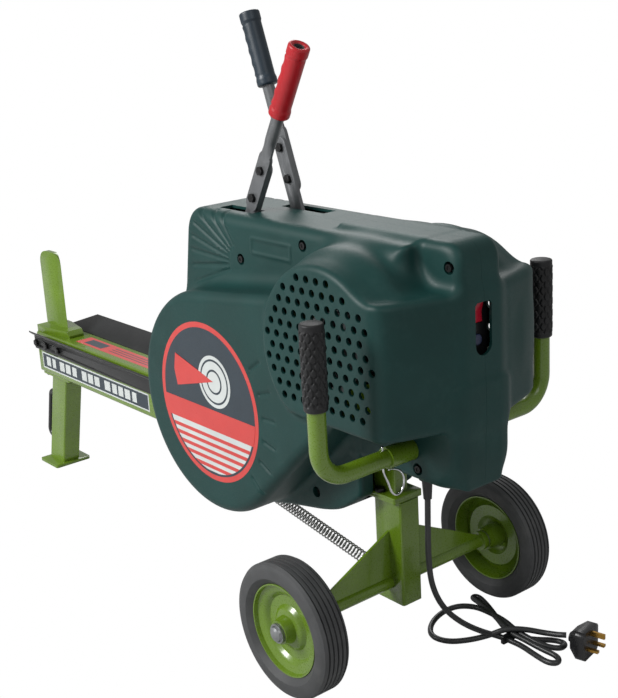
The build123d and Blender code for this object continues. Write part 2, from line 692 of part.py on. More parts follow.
def lever_section(pivot, lean, y, distance):
    """Plane square to the lever, at a distance above its pivot."""
    up = Vector(sin(radians(lean)), 0, cos(radians(lean)))
    origin = Vector(st(pivot[0]), y, pivot[1]) + up * distance
    return Plane(origin=origin, x_dir=(0, 1, 0), z_dir=up)


def build_lever(name, pivot, lean, side):
    """Hand lever: flat lower arm, tube with a flattened foot, two bolts and a rubber grip."""
    arm_width = 28.0
    sheet = 6.0
    arm_low = min(side * (LEVER_Y - sheet), side * LEVER_Y)
    foot_low = min(side * LEVER_Y, side * (LEVER_Y + sheet))
    tube_y = side * (LEVER_Y + sheet / 2)
    bolts = (103.0, 155.0)
    with BuildPart() as arm:
        with BuildSketch(lever_plane(pivot, lean, arm_low)):
            with Locations((66, 0)):
                SlotOverall(212, arm_width)
            Circle(6 + RUNNING_FIT, mode=Mode.SUBTRACT)
            with Locations(*[(distance, 0) for distance in bolts]):
                Circle(4, mode=Mode.SUBTRACT)
        extrude(amount=sheet)
    write(arm, f"{name}_lever_arm")
    with BuildPart() as tube:
        with BuildSketch(lever_plane(pivot, lean, foot_low)):
            with Locations((135, 0)):
                SlotOverall(110, arm_width)
            with Locations(*[(distance, 0) for distance in bolts]):
                Circle(4, mode=Mode.SUBTRACT)
        extrude(amount=sheet)
        with BuildSketch(lever_section(pivot, lean, tube_y, 172)):
            RectangleRounded(sheet - 0.5, arm_width - 2, 2)
        with BuildSketch(lever_section(pivot, lean, tube_y, 212)):
            Circle(10)
        loft()
        with BuildSketch(lever_section(pivot, lean, tube_y, 212)):
            Circle(10)
        extrude(amount=LEVER_LENGTH - 212 - 3)
        with BuildSketch(lever_section(pivot, lean, tube_y, 230)):
            Circle(8)
        extrude(amount=LEVER_LENGTH, mode=Mode.SUBTRACT)
    write(tube, f"{name}_lever_tube")
    with BuildPart() as lever_bolts:
        for distance in bolts:
            plane = lever_plane(pivot, lean, max(arm_low, foot_low) + sheet)
            offset_plane = Plane(origin=plane.from_local_coords(Vector(distance, 0, 0)), x_dir=plane.x_dir,
                                 z_dir=-plane.z_dir)
            add(hex_bolt(offset_plane, 2 * sheet + 8, 4, 2 * sheet))
    write(lever_bolts, f"{name}_lever_bolts")
    with BuildPart() as grip:
        with BuildSketch(lever_section(pivot, lean, tube_y, GRIP_START)):
            Circle(17)
        extrude(amount=LEVER_LENGTH - GRIP_START)
        fillet(grip.edges().filter_by(GeomType.CIRCLE), 4)
        with BuildSketch(lever_section(pivot, lean, tube_y, GRIP_START - 1)):
            Circle(10)
        extrude(amount=LEVER_LENGTH, mode=Mode.SUBTRACT)
    write(grip, f"{name}_lever_grip")


def build_lever_pivots():
    """Pins that the two levers turn on, one in each plate."""
    with BuildPart() as lever_pivots:
        cross_cylinder(*ENGAGE_PIVOT, 6, 20, 44)
        cross_cylinder(*ENGAGE_PIVOT, 10, 20, 26.5)
        cross_cylinder(*SAFETY_PIVOT, 6, -44, -20)
        cross_cylinder(*SAFETY_PIVOT, 10, -26.5, -20)
    write(lever_pivots, "lever_pivots")


# ---------------------------------------------------------------- housing

def rounded_slab(points, half_width, edge_radius, corner_radius=0.0):
    """A slab from the seam plane outwards, with its outer edge rounded."""
    with BuildPart() as mass:
        with BuildSketch(side_plane(0)) as outline:
            with BuildLine():
                Polyline([(st(x), z) for x, z in points], close=True)
            make_face()
            if corner_radius:
                fillet(outline.vertices(), corner_radius)
        extrude(amount=-half_width)
        if edge_radius:
            fillet(mass.faces().sort_by(Axis.Y)[-1].edges(), edge_radius)
    return mass.part


def cowl_mass(inset):
    """Motor cowl: a round drum with a flat bottom that runs back to the slanted rear face."""
    half = COWL_HALF - inset
    radius = COWL_RADIUS - inset
    rear = REAR_FACE + inset
    low = 410.0 + inset
    shoulder = 612.0 - inset
    with BuildPart() as cowl:
        with BuildSketch(side_plane(0)):
            with Locations((st(MOTOR_STATION), MOTOR_Z)):
                Circle(radius)
            with BuildLine():
                Polyline([(st(x), z) for x, z in ((MOTOR_STATION - 72, 620 - inset), (rear, shoulder - 2),
                                                  (rear, low), (MOTOR_STATION, low),
                                                  (MOTOR_STATION, 620 - inset))], close=True)
            make_face()
            with Locations((st(MOTOR_STATION - 40), low - 50)):
                Rectangle(500, 100, mode=Mode.SUBTRACT)
        extrude(amount=-half)
        with BuildSketch(Plane.XY.offset(300)) as plan:
            with BuildLine():
                Polyline((st(rear), 0), (st(rear), 43), (st(-153 + inset), half - 12),
                         (st(-141 + inset), half), (st(150), half), (st(150), 0), close=True)
            make_face()
        extrude(amount=500, mode=Mode.INTERSECT)
        outer = cowl.faces().sort_by(Axis.Y)[-1]
        fillet(outer.edges(), 10 - inset / 2)
    return cowl.part


def cover_mass(inset):
    """Flywheel and belt cover: the outline of the belt run, rounded at its outer edge."""
    with BuildPart() as cover:
        with BuildSketch(side_plane(0)):
            add(belt_hull(COVER_RADIUS - inset, BELT_COVER_RADIUS - inset))
        extrude(amount=-(COVER_HALF - inset))
        fillet(cover.faces().sort_by(Axis.Y)[-1].edges(), 18 - inset)
    return cover.part


def body_mass(inset):
    """Upper body between the two covers, with the rear block that holds the switch."""
    top = BODY_TOP - inset
    upper = [(452 - inset, 440), (452 - inset, 470), (413 - inset, top), (-120, top), (-120, 440)]
    block = [(-100, 440), (-100, top + 2), (REAR_FACE + inset, top + 2), (REAR_FACE + inset, 440)]
    return [rounded_slab(upper, BODY_HALF - inset, 14 - inset / 2, 18),
            rounded_slab(block, 43 - inset, 6, 6)]


def core_mass(inset):
    """Lower core round the frame plates and the beam's rear end."""
    rear = REAR_FACE + inset
    low = 318 + inset
    core = [(rear, 460), (rear, low), (45 - inset, low), (45 - inset, 460)]
    box = [(16 + inset, 420), (16 + inset, 256 + inset), (62, 221 + inset), (97, 206 + inset),
           (250, 178 + inset), (330, 180 + inset), (330, 420)]
    return [rounded_slab(core, CORE_HALF - inset, 12, 24), rounded_slab(box, CORE_HALF - 7 - inset, 6, 4)]


def housing_masses(inset):
    """All the rounded masses of the left half shell, drawn in by the inset."""
    return [cowl_mass(inset), cover_mass(inset), *body_mass(inset), *core_mass(inset)]


def vent_points():
    """Staggered vent holes that fit inside the cowl's outer face."""
    places = []
    for row in range(-4, 7):
        z = MOTOR_Z + VENT_ROW * row
        shift = 102.4 if row % 2 == 0 else 112.6
        for column in range(12):
            station = MOTOR_STATION + shift - VENT_COLUMN * column
            in_drum = hypot(station - MOTOR_STATION, z - MOTOR_Z) < COWL_RADIUS - 17
            in_tail = -132 < station < MOTOR_STATION and z < 592
            if in_drum or in_tail:
                places.append((st(station), z))
    return places


def build_housing():
    """Two moulded half shells that meet on the centre plane."""
    with BuildPart() as housing_left:
        for mass in housing_masses(0):
            add(mass)
        for mass in housing_masses(WALL):
            add(mass, mode=Mode.SUBTRACT)
        # vent holes in the cowl's outer face
        with BuildSketch(side_plane(COWL_HALF - WALL - 1)):
            with Locations(*vent_points()):
                Circle(VENT_RADIUS)
        extrude(amount=-(WALL + 2), mode=Mode.SUBTRACT)
        # opening for the beam and the ram in front, and for the post below
        add(slab([(300, 200), (520, 200), (520, 446), (392, 446), (392, 216), (300, 216)], -1, 47),
            mode=Mode.SUBTRACT)
        add(slab([(-36, 240), (54, 240), (54, 323), (-36, 323)], -1, 33), mode=Mode.SUBTRACT)
        # bore for the handle sleeve
        cross_cylinder(HANDLE_STATION, HANDLE_Z, SLEEVE_RADIUS + CLEARANCE, 40, 70, Mode.SUBTRACT)
        # screw holes
        for station, z, half in SCREWS:
            cross_cylinder(station, z, 3.2, half - 15, half + 5, Mode.SUBTRACT)
            cross_cylinder(station, z, 6.5, half - 2.5, half + 5, Mode.SUBTRACT)
    with BuildPart() as left:
        add(housing_left.part)
        add(slab([(262, 640), (352, 640), (352, 690), (262, 690)], 20, 46), mode=Mode.SUBTRACT)
        add(slab([(-200, 513), (-175, 513), (-175, 589), (-200, 589)], -1, SWITCH_Y + 16), mode=Mode.SUBTRACT)
        with BuildSketch(Plane.XY.offset(300)):
            with Locations((st(CORD_EXIT[0]), CORD_EXIT[1])):
                Circle(9 + CLEARANCE)
        extrude(amount=30, mode=Mode.SUBTRACT)
    write(left, "housing_left")
    with BuildPart() as right:
        mirror(housing_left.part, about=Plane.XZ)
        add(slab([(165, 640), (272, 640), (272, 690), (165, 690)], -46, -20), mode=Mode.SUBTRACT)
        add(slab([(-200, 513), (-175, 513), (-175, 589), (-200, 589)], SWITCH_Y - 16, 1), mode=Mode.SUBTRACT)
    write(right, "housing_right")


def build_housing_screws():
    """Screws that pull the two half shells together, heads in their recesses."""
    with BuildPart() as housing_screws:
        for station, z, half in SCREWS:
            cross_cylinder(station, z, 5.5, half - 2.5, half + 1)
            cross_cylinder(station, z, 2.9, half - 8, half - 2.5)
            with BuildSketch(side_plane(half)):
                with Locations((st(station), z)):
                    RegularPolygon(3, 6)
            extrude(amount=-2, mode=Mode.SUBTRACT)
        mirror(about=Plane.XZ)
    write(housing_screws, "housing_screws")


def build_switch():
    """Switch block behind the rear recess, its rocker and the overload reset button."""
    front = -176.0
    rocker_z = 571.0
    reset_z = 533.0
    with BuildPart() as switch_block:
        with BuildSketch(Plane.YZ.offset(st(front))):
            with Locations((SWITCH_Y, SWITCH_Z)):
                RectangleRounded(44, 86, 5)
        extrude(amount=14)
        with BuildSketch(Plane.YZ.offset(st(front))):
            with Locations((SWITCH_Y, rocker_z)):
                Rectangle(23, 31)
            with Locations((SWITCH_Y, reset_z)):
                Circle(8.3)
        extrude(amount=10, mode=Mode.SUBTRACT)
    write(switch_block, "switch_block")
    with BuildPart() as switch_rocker:
        with BuildSketch(side_plane(SWITCH_Y - 11)):
            with BuildLine():
                Polyline((st(front + 6), rocker_z - 12), (st(front - 2), rocker_z - 14),
                         (st(front - 1), rocker_z), (st(front - 5), rocker_z + 14),
                         (st(front + 6), rocker_z + 12), close=True)
            make_face()
        extrude(amount=-22)
        cross_cylinder(front + 2, rocker_z, 1.5, SWITCH_Y - 11, SWITCH_Y + 11, Mode.SUBTRACT)
    write(switch_rocker, "switch_rocker")
    with BuildPart() as reset_button:
        with BuildSketch(Plane.YZ.offset(st(front - 5))):
            with Locations((SWITCH_Y, reset_z)):
                Circle(8)
        extrude(amount=11)
        fillet(reset_button.edges().filter_by(GeomType.CIRCLE).sort_by(Axis.X)[0], 2)
    write(reset_button, "reset_button")


# ---------------------------------------------------------------- transport handles

def build_handles():
    """Sleeve across the frame, two bent handles that turn in it, grips and spring clips."""
    bend = 46.0
    grip_low = 470.0
    clip_y = 111.0
    with BuildPart() as handle_sleeve:
        cross_cylinder(HANDLE_STATION, HANDLE_Z, SLEEVE_RADIUS, -SLEEVE_END, SLEEVE_END)
        cross_cylinder(HANDLE_STATION, HANDLE_Z, HANDLE_RADIUS + RUNNING_FIT, -SLEEVE_END, SLEEVE_END,
                       Mode.SUBTRACT)
    write(handle_sleeve, "handle_sleeve")
    with BuildPart() as tube:
        start = Vector(st(HANDLE_STATION), 20, HANDLE_Z)
        corner = Vector(st(HANDLE_STATION), HANDLE_REACH, HANDLE_Z)
        with BuildLine():
            FilletPolyline(start, corner, Vector(corner.X, corner.Y, HANDLE_TOP - 4), radius=bend)
        with BuildSketch(Plane(origin=start, x_dir=(1, 0, 0), z_dir=(0, 1, 0))):
            Circle(HANDLE_RADIUS)
            Circle(HANDLE_RADIUS - 2.5, mode=Mode.SUBTRACT)
        sweep()
        with BuildSketch(Plane.XY.offset(HANDLE_Z - 20)):
            with Locations((st(HANDLE_STATION), clip_y)):
                Circle(1.8)
        extrude(amount=40, mode=Mode.SUBTRACT)
    write(tube, "handle_tube_left")
    write(mirrored(tube), "handle_tube_right")
    with BuildPart() as grip:
        with BuildSketch(Plane.XY.offset(grip_low)):
            with Locations((st(HANDLE_STATION), HANDLE_REACH)):
                Circle(HANDLE_RADIUS + 4)
        extrude(amount=HANDLE_TOP - grip_low)
        fillet(grip.edges().filter_by(GeomType.CIRCLE), 2.5)
        with BuildSketch(Plane.XY.offset(grip_low)):
            with Locations((st(HANDLE_STATION), HANDLE_REACH)):
                Circle(HANDLE_RADIUS)
        extrude(amount=HANDLE_TOP - 4 - grip_low, mode=Mode.SUBTRACT)
    write(grip, "handle_grip_left")
    write(mirrored(grip), "handle_grip_right")
    with BuildPart() as clip:
        top = Vector(st(HANDLE_STATION), clip_y, HANDLE_Z + 20)
        wire = 1.6
        loop_low = HANDLE_Z - 64
        with BuildLine():
            FilletPolyline(top, Vector(top.X, clip_y, HANDLE_Z - 24),
                           Vector(top.X, clip_y - 10, HANDLE_Z - 36), Vector(top.X, clip_y - 16, loop_low),
                           Vector(top.X, clip_y - 40, loop_low), Vector(top.X, clip_y - 40, HANDLE_Z - 36),
                           Vector(top.X, clip_y - 22, HANDLE_Z - 26),
                           Vector(top.X, clip_y - 12, HANDLE_Z - 21),
                           Vector(top.X, clip_y - 8, HANDLE_Z - 18), radius=3)
        with BuildSketch(Plane(origin=top, x_dir=(1, 0, 0), z_dir=(0, 0, -1))):
            Circle(wire)
        sweep()
    write(clip, "spring_clip_left")
    write(mirrored(clip), "spring_clip_right")


# ---------------------------------------------------------------- mains cord

def build_cord():
    """Strain relief, hanging cord, tied hank and its tie."""
    x_exit = st(CORD_EXIT[0])
    with BuildPart() as cord_gland:
        with BuildSketch(Plane(origin=(x_exit, CORD_EXIT[1], 0), x_dir=(1, 0, 0), z_dir=(0, -1, 0))):
            with BuildLine():
                Polyline((0, GLAND_BOTTOM), (6.2, GLAND_BOTTOM), (8, CORE_BOTTOM - 4), (12, CORE_BOTTOM - 3),
                         (12, CORE_BOTTOM), (9, CORE_BOTTOM), (9, CORE_BOTTOM + 6), (0, CORE_BOTTOM + 6),
                         close=True)
            make_face()
        revolve(axis=Axis((x_exit, CORD_EXIT[1], 0), (0, 0, 1)))
    write(cord_gland, "cord_gland")
    points = [Vector(st(x), y, z) for x, y, z in CORD_ROUTE]
    radii = []
    for before, here, after in zip(points, points[1:], points[2:]):
        turn = radians((here - before).get_angle(after - here))
        run = min((here - before).length, (after - here).length)
        radii.append(0.45 * run / tan(turn / 2))
    print("cord arc radii", [round(radius) for radius in radii])
    with BuildPart() as power_cord:
        with BuildLine() as route:
            FilletPolyline(*points, radius=radii)
        with BuildSketch(Plane(origin=points[0], z_dir=points[1] - points[0])):
            Circle(CORD_RADIUS)
        sweep()
    length = route.wires()[0].length
    print("cord tube", round(length), "mm long, volume ratio",
          round(power_cord.part.volume / (pi * CORD_RADIUS ** 2 * length), 3))
    write(power_cord, "power_cord")
    low = 2.0
    thick = 12.0
    tie_point = Vector(st(TIE[0]), TIE[1])
    bights = (((-50, -84), 34), ((-10, -160), 18), ((-214, -112), 20), ((-190, -150), 24))
    with BuildPart() as cord_hank:
        with BuildSketch(Plane.XY.offset(low)):
            with Locations((st(-50), -84)):
                Circle(50)
            for (x, y), width in bights:
                far = Vector(st(x), y)
                SlotCenterPoint((tie_point + far) / 2, far, width)
        extrude(amount=thick)
    write(cord_hank, "cord_hank")
    with BuildPart() as cord_tie:
        tie_centre = (st(TIE[0]) - 2, TIE[1] - 2, low + thick / 2)
        tie_face = Plane(origin=tie_centre, x_dir=(0, 1, 0), z_dir=(1, 0, 0))
        with BuildSketch(tie_face):
            RectangleRounded(38, thick + 3, 4)
        extrude(amount=4)
    write(cord_tie, "cord_tie")


def build_plug():
    """Moulded three-pin plug that lies on the ground, pins level."""
    heading = Vector(cos(radians(PLUG_HEADING)), sin(radians(PLUG_HEADING)), 0)
    across = Vector(-heading.Y, heading.X, 0)
    centre = Vector(st(PLUG_CENTRE[0]), PLUG_CENTRE[1], 24.5)
    face_plane = Plane(origin=centre + heading * 14, x_dir=across, z_dir=heading)
    with BuildPart() as plug_body:
        with BuildSketch(face_plane):
            RectangleRounded(50, 48, 9)
        extrude(amount=-15)
        with BuildSketch(face_plane.offset(-15)):
            RectangleRounded(50, 48, 9)
        with BuildSketch(face_plane.offset(-27)):
            RectangleRounded(34, 32, 9)
        loft()
        with BuildSketch(face_plane.offset(-26)):
            Circle(8)
        extrude(amount=-8)
    write(plug_body, "plug_body")
    with BuildPart() as plug_pins:
        with BuildSketch(face_plane):
            with Locations((-11, -6), (11, -6)):
                Rectangle(6.3, 4)
            with Locations((0, 16)):
                Rectangle(4, 8)
        extrude(amount=17.7)
        with BuildSketch(face_plane):
            with Locations((0, 16)):
                Rectangle(4, 8)
        extrude(amount=22.7)
    write(plug_pins, "plug_pins")


build_beam()
build_wedge()
build_front_leg()
build_carry_handle()
build_log_wings()
build_rear_post()
build_post_stub()
build_rear_axle()
build_frame_bolts()
build_frame_plates()
build_wheels()
build_pinion_shaft()
build_flywheels()
build_bearings()
build_motor()
build_belt()
build_rack()
build_push_plate()
build_return_spring()
build_pressure_roller()
build_lever("engage", ENGAGE_PIVOT, ENGAGE_LEAN, 1)
build_lever("safety", SAFETY_PIVOT, SAFETY_LEAN, -1)
build_lever_pivots()
build_handles()
build_switch()
build_housing_screws()
build_cord()
build_plug()
build_housing()
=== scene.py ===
"""Looks of an electric flywheel log splitter, dressed round its CAD frame."""

import logging
from dataclasses import dataclass, field
from enum import Enum
from math import asin, cos, hypot, pi, radians, sin

import bmesh
import bpy
import numpy as np
from mathutils import Matrix, Vector


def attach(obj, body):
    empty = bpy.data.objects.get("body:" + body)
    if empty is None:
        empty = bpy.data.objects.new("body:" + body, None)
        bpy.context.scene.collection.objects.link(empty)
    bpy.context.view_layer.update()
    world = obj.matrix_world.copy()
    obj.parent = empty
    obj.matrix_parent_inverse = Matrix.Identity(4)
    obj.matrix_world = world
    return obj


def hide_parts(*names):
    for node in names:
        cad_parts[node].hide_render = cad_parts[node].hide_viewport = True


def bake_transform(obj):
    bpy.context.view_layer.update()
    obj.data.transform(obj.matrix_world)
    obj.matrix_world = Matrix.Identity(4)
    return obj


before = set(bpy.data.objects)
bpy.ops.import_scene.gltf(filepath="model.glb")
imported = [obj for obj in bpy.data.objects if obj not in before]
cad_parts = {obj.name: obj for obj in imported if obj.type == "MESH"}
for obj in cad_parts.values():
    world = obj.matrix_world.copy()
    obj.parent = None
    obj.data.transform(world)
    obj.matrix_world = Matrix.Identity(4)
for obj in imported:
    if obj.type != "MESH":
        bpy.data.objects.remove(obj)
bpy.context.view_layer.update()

logging.basicConfig(level=logging.INFO, format="%(message)s")
LOG = logging.getLogger("log_splitter")

MM = 0.001
AXLE_X = -485.1
# Each half shell: its most triangles, and the angle past which an edge shades sharp
HALF_TRIANGLES = 180000
HALF_CREASE_DEG = 38.0


class Side(Enum):
    """The two sides of the machine, with the sign of their Y."""

    LEFT = 1
    RIGHT = -1


def at(station: float, y: float, z: float) -> np.ndarray:
    """Point in metres from a distance ahead of the wheel axle, a Y and a Z, all in millimetres."""
    return np.array([AXLE_X + station, y, z]) * MM


def smooth_step(low: float, high: float, value: np.ndarray) -> np.ndarray:
    """3t^2 - 2t^3, with t running from 0 at low to 1 at high.

    Args:
        low: value where the step starts.
        high: value where it ends.
        value: the values to map.

    Returns:
        The step's height, from 0 to 1, for each value.
    """
    t = np.clip((value - low) / (high - low), 0, 1)
    return t * t * (3 - 2 * t)


# ---------------------------------------------------------------- mesh helpers

def make_object(name: str, points: np.ndarray, faces: list, smooth: bool = True) -> bpy.types.Object:
    """Mesh object at the origin, from its points and faces.

    Args:
        name: name of the piece.
        points: (n, 3) array in metres.
        faces: lists or arrays of vertex numbers.
        smooth: whether the faces are shaded smooth.

    Returns:
        The new object, linked to the scene.
    """
    mesh = bpy.data.meshes.new(name)
    mesh.from_pydata(np.asarray(points, dtype=float).reshape(-1, 3).tolist(), [], [list(f) for f in faces])
    mesh.polygons.foreach_set("use_smooth", np.full(len(mesh.polygons), smooth))
    mesh.update()
    piece = bpy.data.objects.new(name, mesh)
    bpy.context.scene.collection.objects.link(piece)
    return piece


def grid_faces(rows: int, columns: int, close_rows: bool, close_columns: bool) -> np.ndarray:
    """Quads of a grid whose point (i, j) has the number i * columns + j.

    Args:
        rows: points along the first direction.
        columns: points along the second direction.
        close_rows: whether the last row joins the first.
        close_columns: whether the last column joins the first.

    Returns:
        (n, 4) array of vertex numbers.
    """
    i, j = np.meshgrid(np.arange(rows if close_rows else rows - 1),
                       np.arange(columns if close_columns else columns - 1), indexing="ij")
    i_next, j_next = (i + 1) % rows, (j + 1) % columns
    quads = np.stack([i * columns + j, i_next * columns + j, i_next * columns + j_next, i * columns + j_next], -1)
    return quads.reshape(-1, 4)


def face_outwards(piece: bpy.types.Object) -> bpy.types.Object:
    """Turns every face of a closed piece outwards, and returns the piece."""
    mesh = bmesh.new()
    mesh.from_mesh(piece.data)
    bmesh.ops.remove_doubles(mesh, verts=mesh.verts, dist=1e-6)
    bmesh.ops.recalc_face_normals(mesh, faces=mesh.faces)
    mesh.to_mesh(piece.data)
    mesh.free()
    return piece


def tube_along(name: str, path: np.ndarray, radius: np.ndarray | float, sides: int = 12,
               closed: bool = False) -> bpy.types.Object:
    """Round tube with closed ends: centre(s) + r(s) (cos a N(s) + sin a B(s)), N and B square to the path.

    Args:
        name: name of the piece.
        path: (n, 3) centre line in metres.
        radius: radius in metres, one or one for each point.
        sides: points round the section.
        closed: whether the path is a loop.

    Returns:
        The new object.
    """
    path = np.asarray(path, dtype=float)
    tangent = np.roll(path, -1, 0) - np.roll(path, 1, 0) if closed else np.gradient(path, axis=0)
    tangent /= np.linalg.norm(tangent, axis=1)[:, None]
    normal = np.empty_like(tangent)
    guide = np.array([0.0, 0.0, 1.0]) if abs(tangent[0][2]) < 0.9 else np.array([0.0, 1.0, 0.0])
    for row, along in enumerate(tangent):
        guide = guide - along * guide.dot(along)
        guide /= np.linalg.norm(guide)
        normal[row] = guide
    across = np.cross(tangent, normal)
    angle = np.linspace(0, 2 * pi, sides, endpoint=False)
    ring = np.cos(angle)[None, :, None] * normal[:, None, :] + np.sin(angle)[None, :, None] * across[:, None, :]
    width = np.broadcast_to(np.asarray(radius, dtype=float), (len(path),))
    points = path[:, None, :] + width[:, None, None] * ring
    faces = grid_faces(len(path), sides, closed, True).tolist()
    if not closed:
        last = (len(path) - 1) * sides
        faces += [list(range(sides - 1, -1, -1)), list(range(last, last + sides))]
    return face_outwards(make_object(name, points, faces))


def bevelled(piece: bpy.types.Object, width_mm: float, segments: int = 2,
             angle: float = 40.0) -> bpy.types.Object:
    """Welds a piece's loose triangles and rounds its edges; its own mesh isn't changed.

    Args:
        piece: a CAD node or a new piece.
        width_mm: width of the rounded edge.
        segments: steps across the edge.
        angle: only edges sharper than this many degrees are rounded.

    Returns:
        The same piece.
    """
    weld = piece.modifiers.new("weld", "WELD")
    weld.merge_threshold = 2e-6
    bevel = piece.modifiers.new("edge", "BEVEL")
    bevel.width = width_mm * MM
    bevel.segments = segments
    bevel.limit_method = "ANGLE"
    bevel.angle_limit = radians(angle)
    bevel.harden_normals = True
    bevel.use_clamp_overlap = True
    piece.data.polygons.foreach_set("use_smooth", np.full(len(piece.data.polygons), True))
    return piece


def soft_shaded(piece: bpy.types.Object, angle: float = 32.0) -> bpy.types.Object:
    """Smooth shading that still breaks at edges sharper than angle, and returns the piece."""
    weld = piece.modifiers.new("weld", "WELD")
    weld.merge_threshold = 2e-6
    split = piece.modifiers.new("edge_split", "EDGE_SPLIT")
    split.split_angle = radians(angle)
    piece.data.polygons.foreach_set("use_smooth", np.full(len(piece.data.polygons), True))
    return piece


# ---------------------------------------------------------------- finishes

def colour(code: str) -> tuple:
    """Linear RGBA of an sRGB hex colour such as "5a7a2a"."""
    channels = [int(code[i:i + 2], 16) / 255 for i in (0, 2, 4)]
    return tuple(c / 12.92 if c <= 0.04045 else ((c + 0.055) / 1.055) ** 2.4 for c in channels) + (1.0,)


def add_node(tree: bpy.types.NodeTree, kind: str, settings: dict | None = None, **inputs) -> bpy.types.Node:
    """Adds a shader node.

    Args:
        tree: the material's node tree.
        kind: type of the node, such as "ShaderNodeTexNoise".
        settings: attributes of the node.
        **inputs: sockets by name, spaces as underscores: a value, or a socket to link from.

    Returns:
        The new node.
    """
    added = tree.nodes.new(kind)
    for name, value in (settings or {}).items():
        setattr(added, name, value)
    for name, value in inputs.items():
        by_number = name[0] == "i" and name[1:].isdigit()
        socket = added.inputs[int(name[1:]) if by_number else name.replace("_", " ")]
        if isinstance(value, bpy.types.NodeSocket):
            tree.links.new(value, socket)
        else:
            socket.default_value = value
    return added


@dataclass(frozen=True)
class Finish:
    """One real finish: its colour, its gloss, its colour variation and its surface grain."""

    name: str
    slot: str
    base: str
    shade: str
    roughness: float
    metallic: float = 0.0
    coat: float = 0.0
    grain_mm: float = 0.8
    grain_height_mm: float = 0.02
    blotch_mm: float = 60.0
    roughness_spread: float = 0.08
    dust: str = ""
    dust_amount: float = 0.0
    stretch: tuple = (1.0, 1.0, 1.0)
    specular: float = 0.5

    def build(self) -> bpy.types.Material:
        """Returns the material, made once."""
        made = bpy.data.materials.get(self.name)
        if made:
            return made
        made = bpy.data.materials.new(self.name)
        made.use_nodes = True
        tree = made.node_tree
        shader = tree.nodes["Principled BSDF"]
        shader.inputs["Metallic"].default_value = self.metallic
        shader.inputs["Coat Weight"].default_value = self.coat
        shader.inputs["Coat Roughness"].default_value = 0.08
        if self.metallic < 0.5:
            shader.inputs["Specular IOR Level"].default_value = self.specular
        place = add_node(tree, "ShaderNodeTexCoord")
        stretched = add_node(tree, "ShaderNodeMapping", Vector=place.outputs["Object"], Scale=self.stretch)
        blotch = add_node(tree, "ShaderNodeTexNoise", Vector=place.outputs["Object"],
                          Scale=1 / (self.blotch_mm * MM), Detail=4.0, Roughness=0.6)
        spread = add_node(tree, "ShaderNodeMapRange", Value=blotch.outputs["Fac"], From_Min=0.3, From_Max=0.7)
        mixed = add_node(tree, "ShaderNodeMix", {"data_type": "RGBA"}, Factor=spread.outputs["Result"],
                         i6=colour(self.base), i7=colour(self.shade))
        surface = mixed.outputs[2]
        if self.dust:
            # Dust and scuffs collect in broad faint patches
            patches = add_node(tree, "ShaderNodeTexNoise", Vector=place.outputs["Object"], Scale=22.0,
                               Detail=8.0, Roughness=0.72)
            amount = add_node(tree, "ShaderNodeMapRange", Value=patches.outputs["Fac"], From_Min=0.52,
                              From_Max=0.8, To_Max=self.dust_amount)
            dusty = add_node(tree, "ShaderNodeMix", {"data_type": "RGBA"}, Factor=amount.outputs["Result"],
                             i6=surface, i7=colour(self.dust))
            surface = dusty.outputs[2]
        tree.links.new(surface, shader.inputs["Base Color"])
        grain = add_node(tree, "ShaderNodeTexNoise", Vector=stretched.outputs["Vector"],
                         Scale=1 / (self.grain_mm * MM), Detail=3.0, Roughness=0.55)
        gloss = add_node(tree, "ShaderNodeMapRange", Value=grain.outputs["Fac"], From_Min=0.25, From_Max=0.75,
                         To_Min=max(0.02, self.roughness - self.roughness_spread),
                         To_Max=min(1.0, self.roughness + self.roughness_spread))
        tree.links.new(gloss.outputs["Result"], shader.inputs["Roughness"])
        bump = add_node(tree, "ShaderNodeBump", Height=grain.outputs["Fac"], Strength=0.6,
                        Distance=self.grain_height_mm * MM)
        tree.links.new(bump.outputs["Normal"], shader.inputs["Normal"])
        return made

    def dress(self, piece: bpy.types.Object) -> bpy.types.Object:
        """Gives the piece this finish in all its slots, and returns it."""
        material = self.build()
        if not piece.data.materials:
            piece.data.materials.append(material)
        for entry in piece.material_slots:
            entry.material = material
        return piece


# Rotationally moulded polyethylene: dull, with a fine pebble and a soft sheen
SHELL = Finish("moulded_polyethylene_green", "green_shell", "0d3835", "0b312e", 0.5, grain_mm=1.6,
               grain_height_mm=0.10, blotch_mm=120, dust="5f7f7c", dust_amount=0.06, specular=0.3)
# Powder coat over mild steel: thick, glossy, with a slight orange peel
POWDER = Finish("powder_coated_steel_green", "green_frame", "5f7c17", "557012", 0.3, coat=0.35, grain_mm=2.6,
                grain_height_mm=0.05, blotch_mm=90, dust="8a9a62", dust_amount=0.10)
# Black satin powder coat on bent sheet
BLACK_STEEL = Finish("powder_coated_sheet_black", "black_steel", "131415", "1b1c1d", 0.42, grain_mm=2.2,
                     grain_height_mm=0.05, dust="4a4a48", dust_amount=0.12)
# Zinc plate: pale satin metal with fine rolling lines
ZINC = Finish("zinc_plated_steel", "bare_steel", "9a9c9c", "85888a", 0.38, metallic=0.9, grain_mm=0.6,
              grain_height_mm=0.02, blotch_mm=25, stretch=(1.0, 1.0, 0.12))
LEVER_STEEL = Finish("grey_lacquered_steel", "bare_steel", "77797b", "66686a", 0.4, metallic=0.55, grain_mm=0.7,
                     grain_height_mm=0.02, blotch_mm=30, dust="5a5650", dust_amount=0.2)
SPRING_WIRE = Finish("drawn_spring_wire", "spring_steel", "a7a8a6", "8d8e8c", 0.34, metallic=0.95, grain_mm=0.5,
                     grain_height_mm=0.01)
CHROME = Finish("bright_plated_wire", "chrome_wire", "d8dadb", "c4c6c8", 0.14, metallic=1.0, grain_mm=0.5,
                grain_height_mm=0.004, roughness_spread=0.04)
CAST_IRON = Finish("turned_cast_iron", "cast_iron", "4a4b4c", "3c3d3e", 0.5, metallic=0.8, grain_mm=1.2,
                   grain_height_mm=0.05)
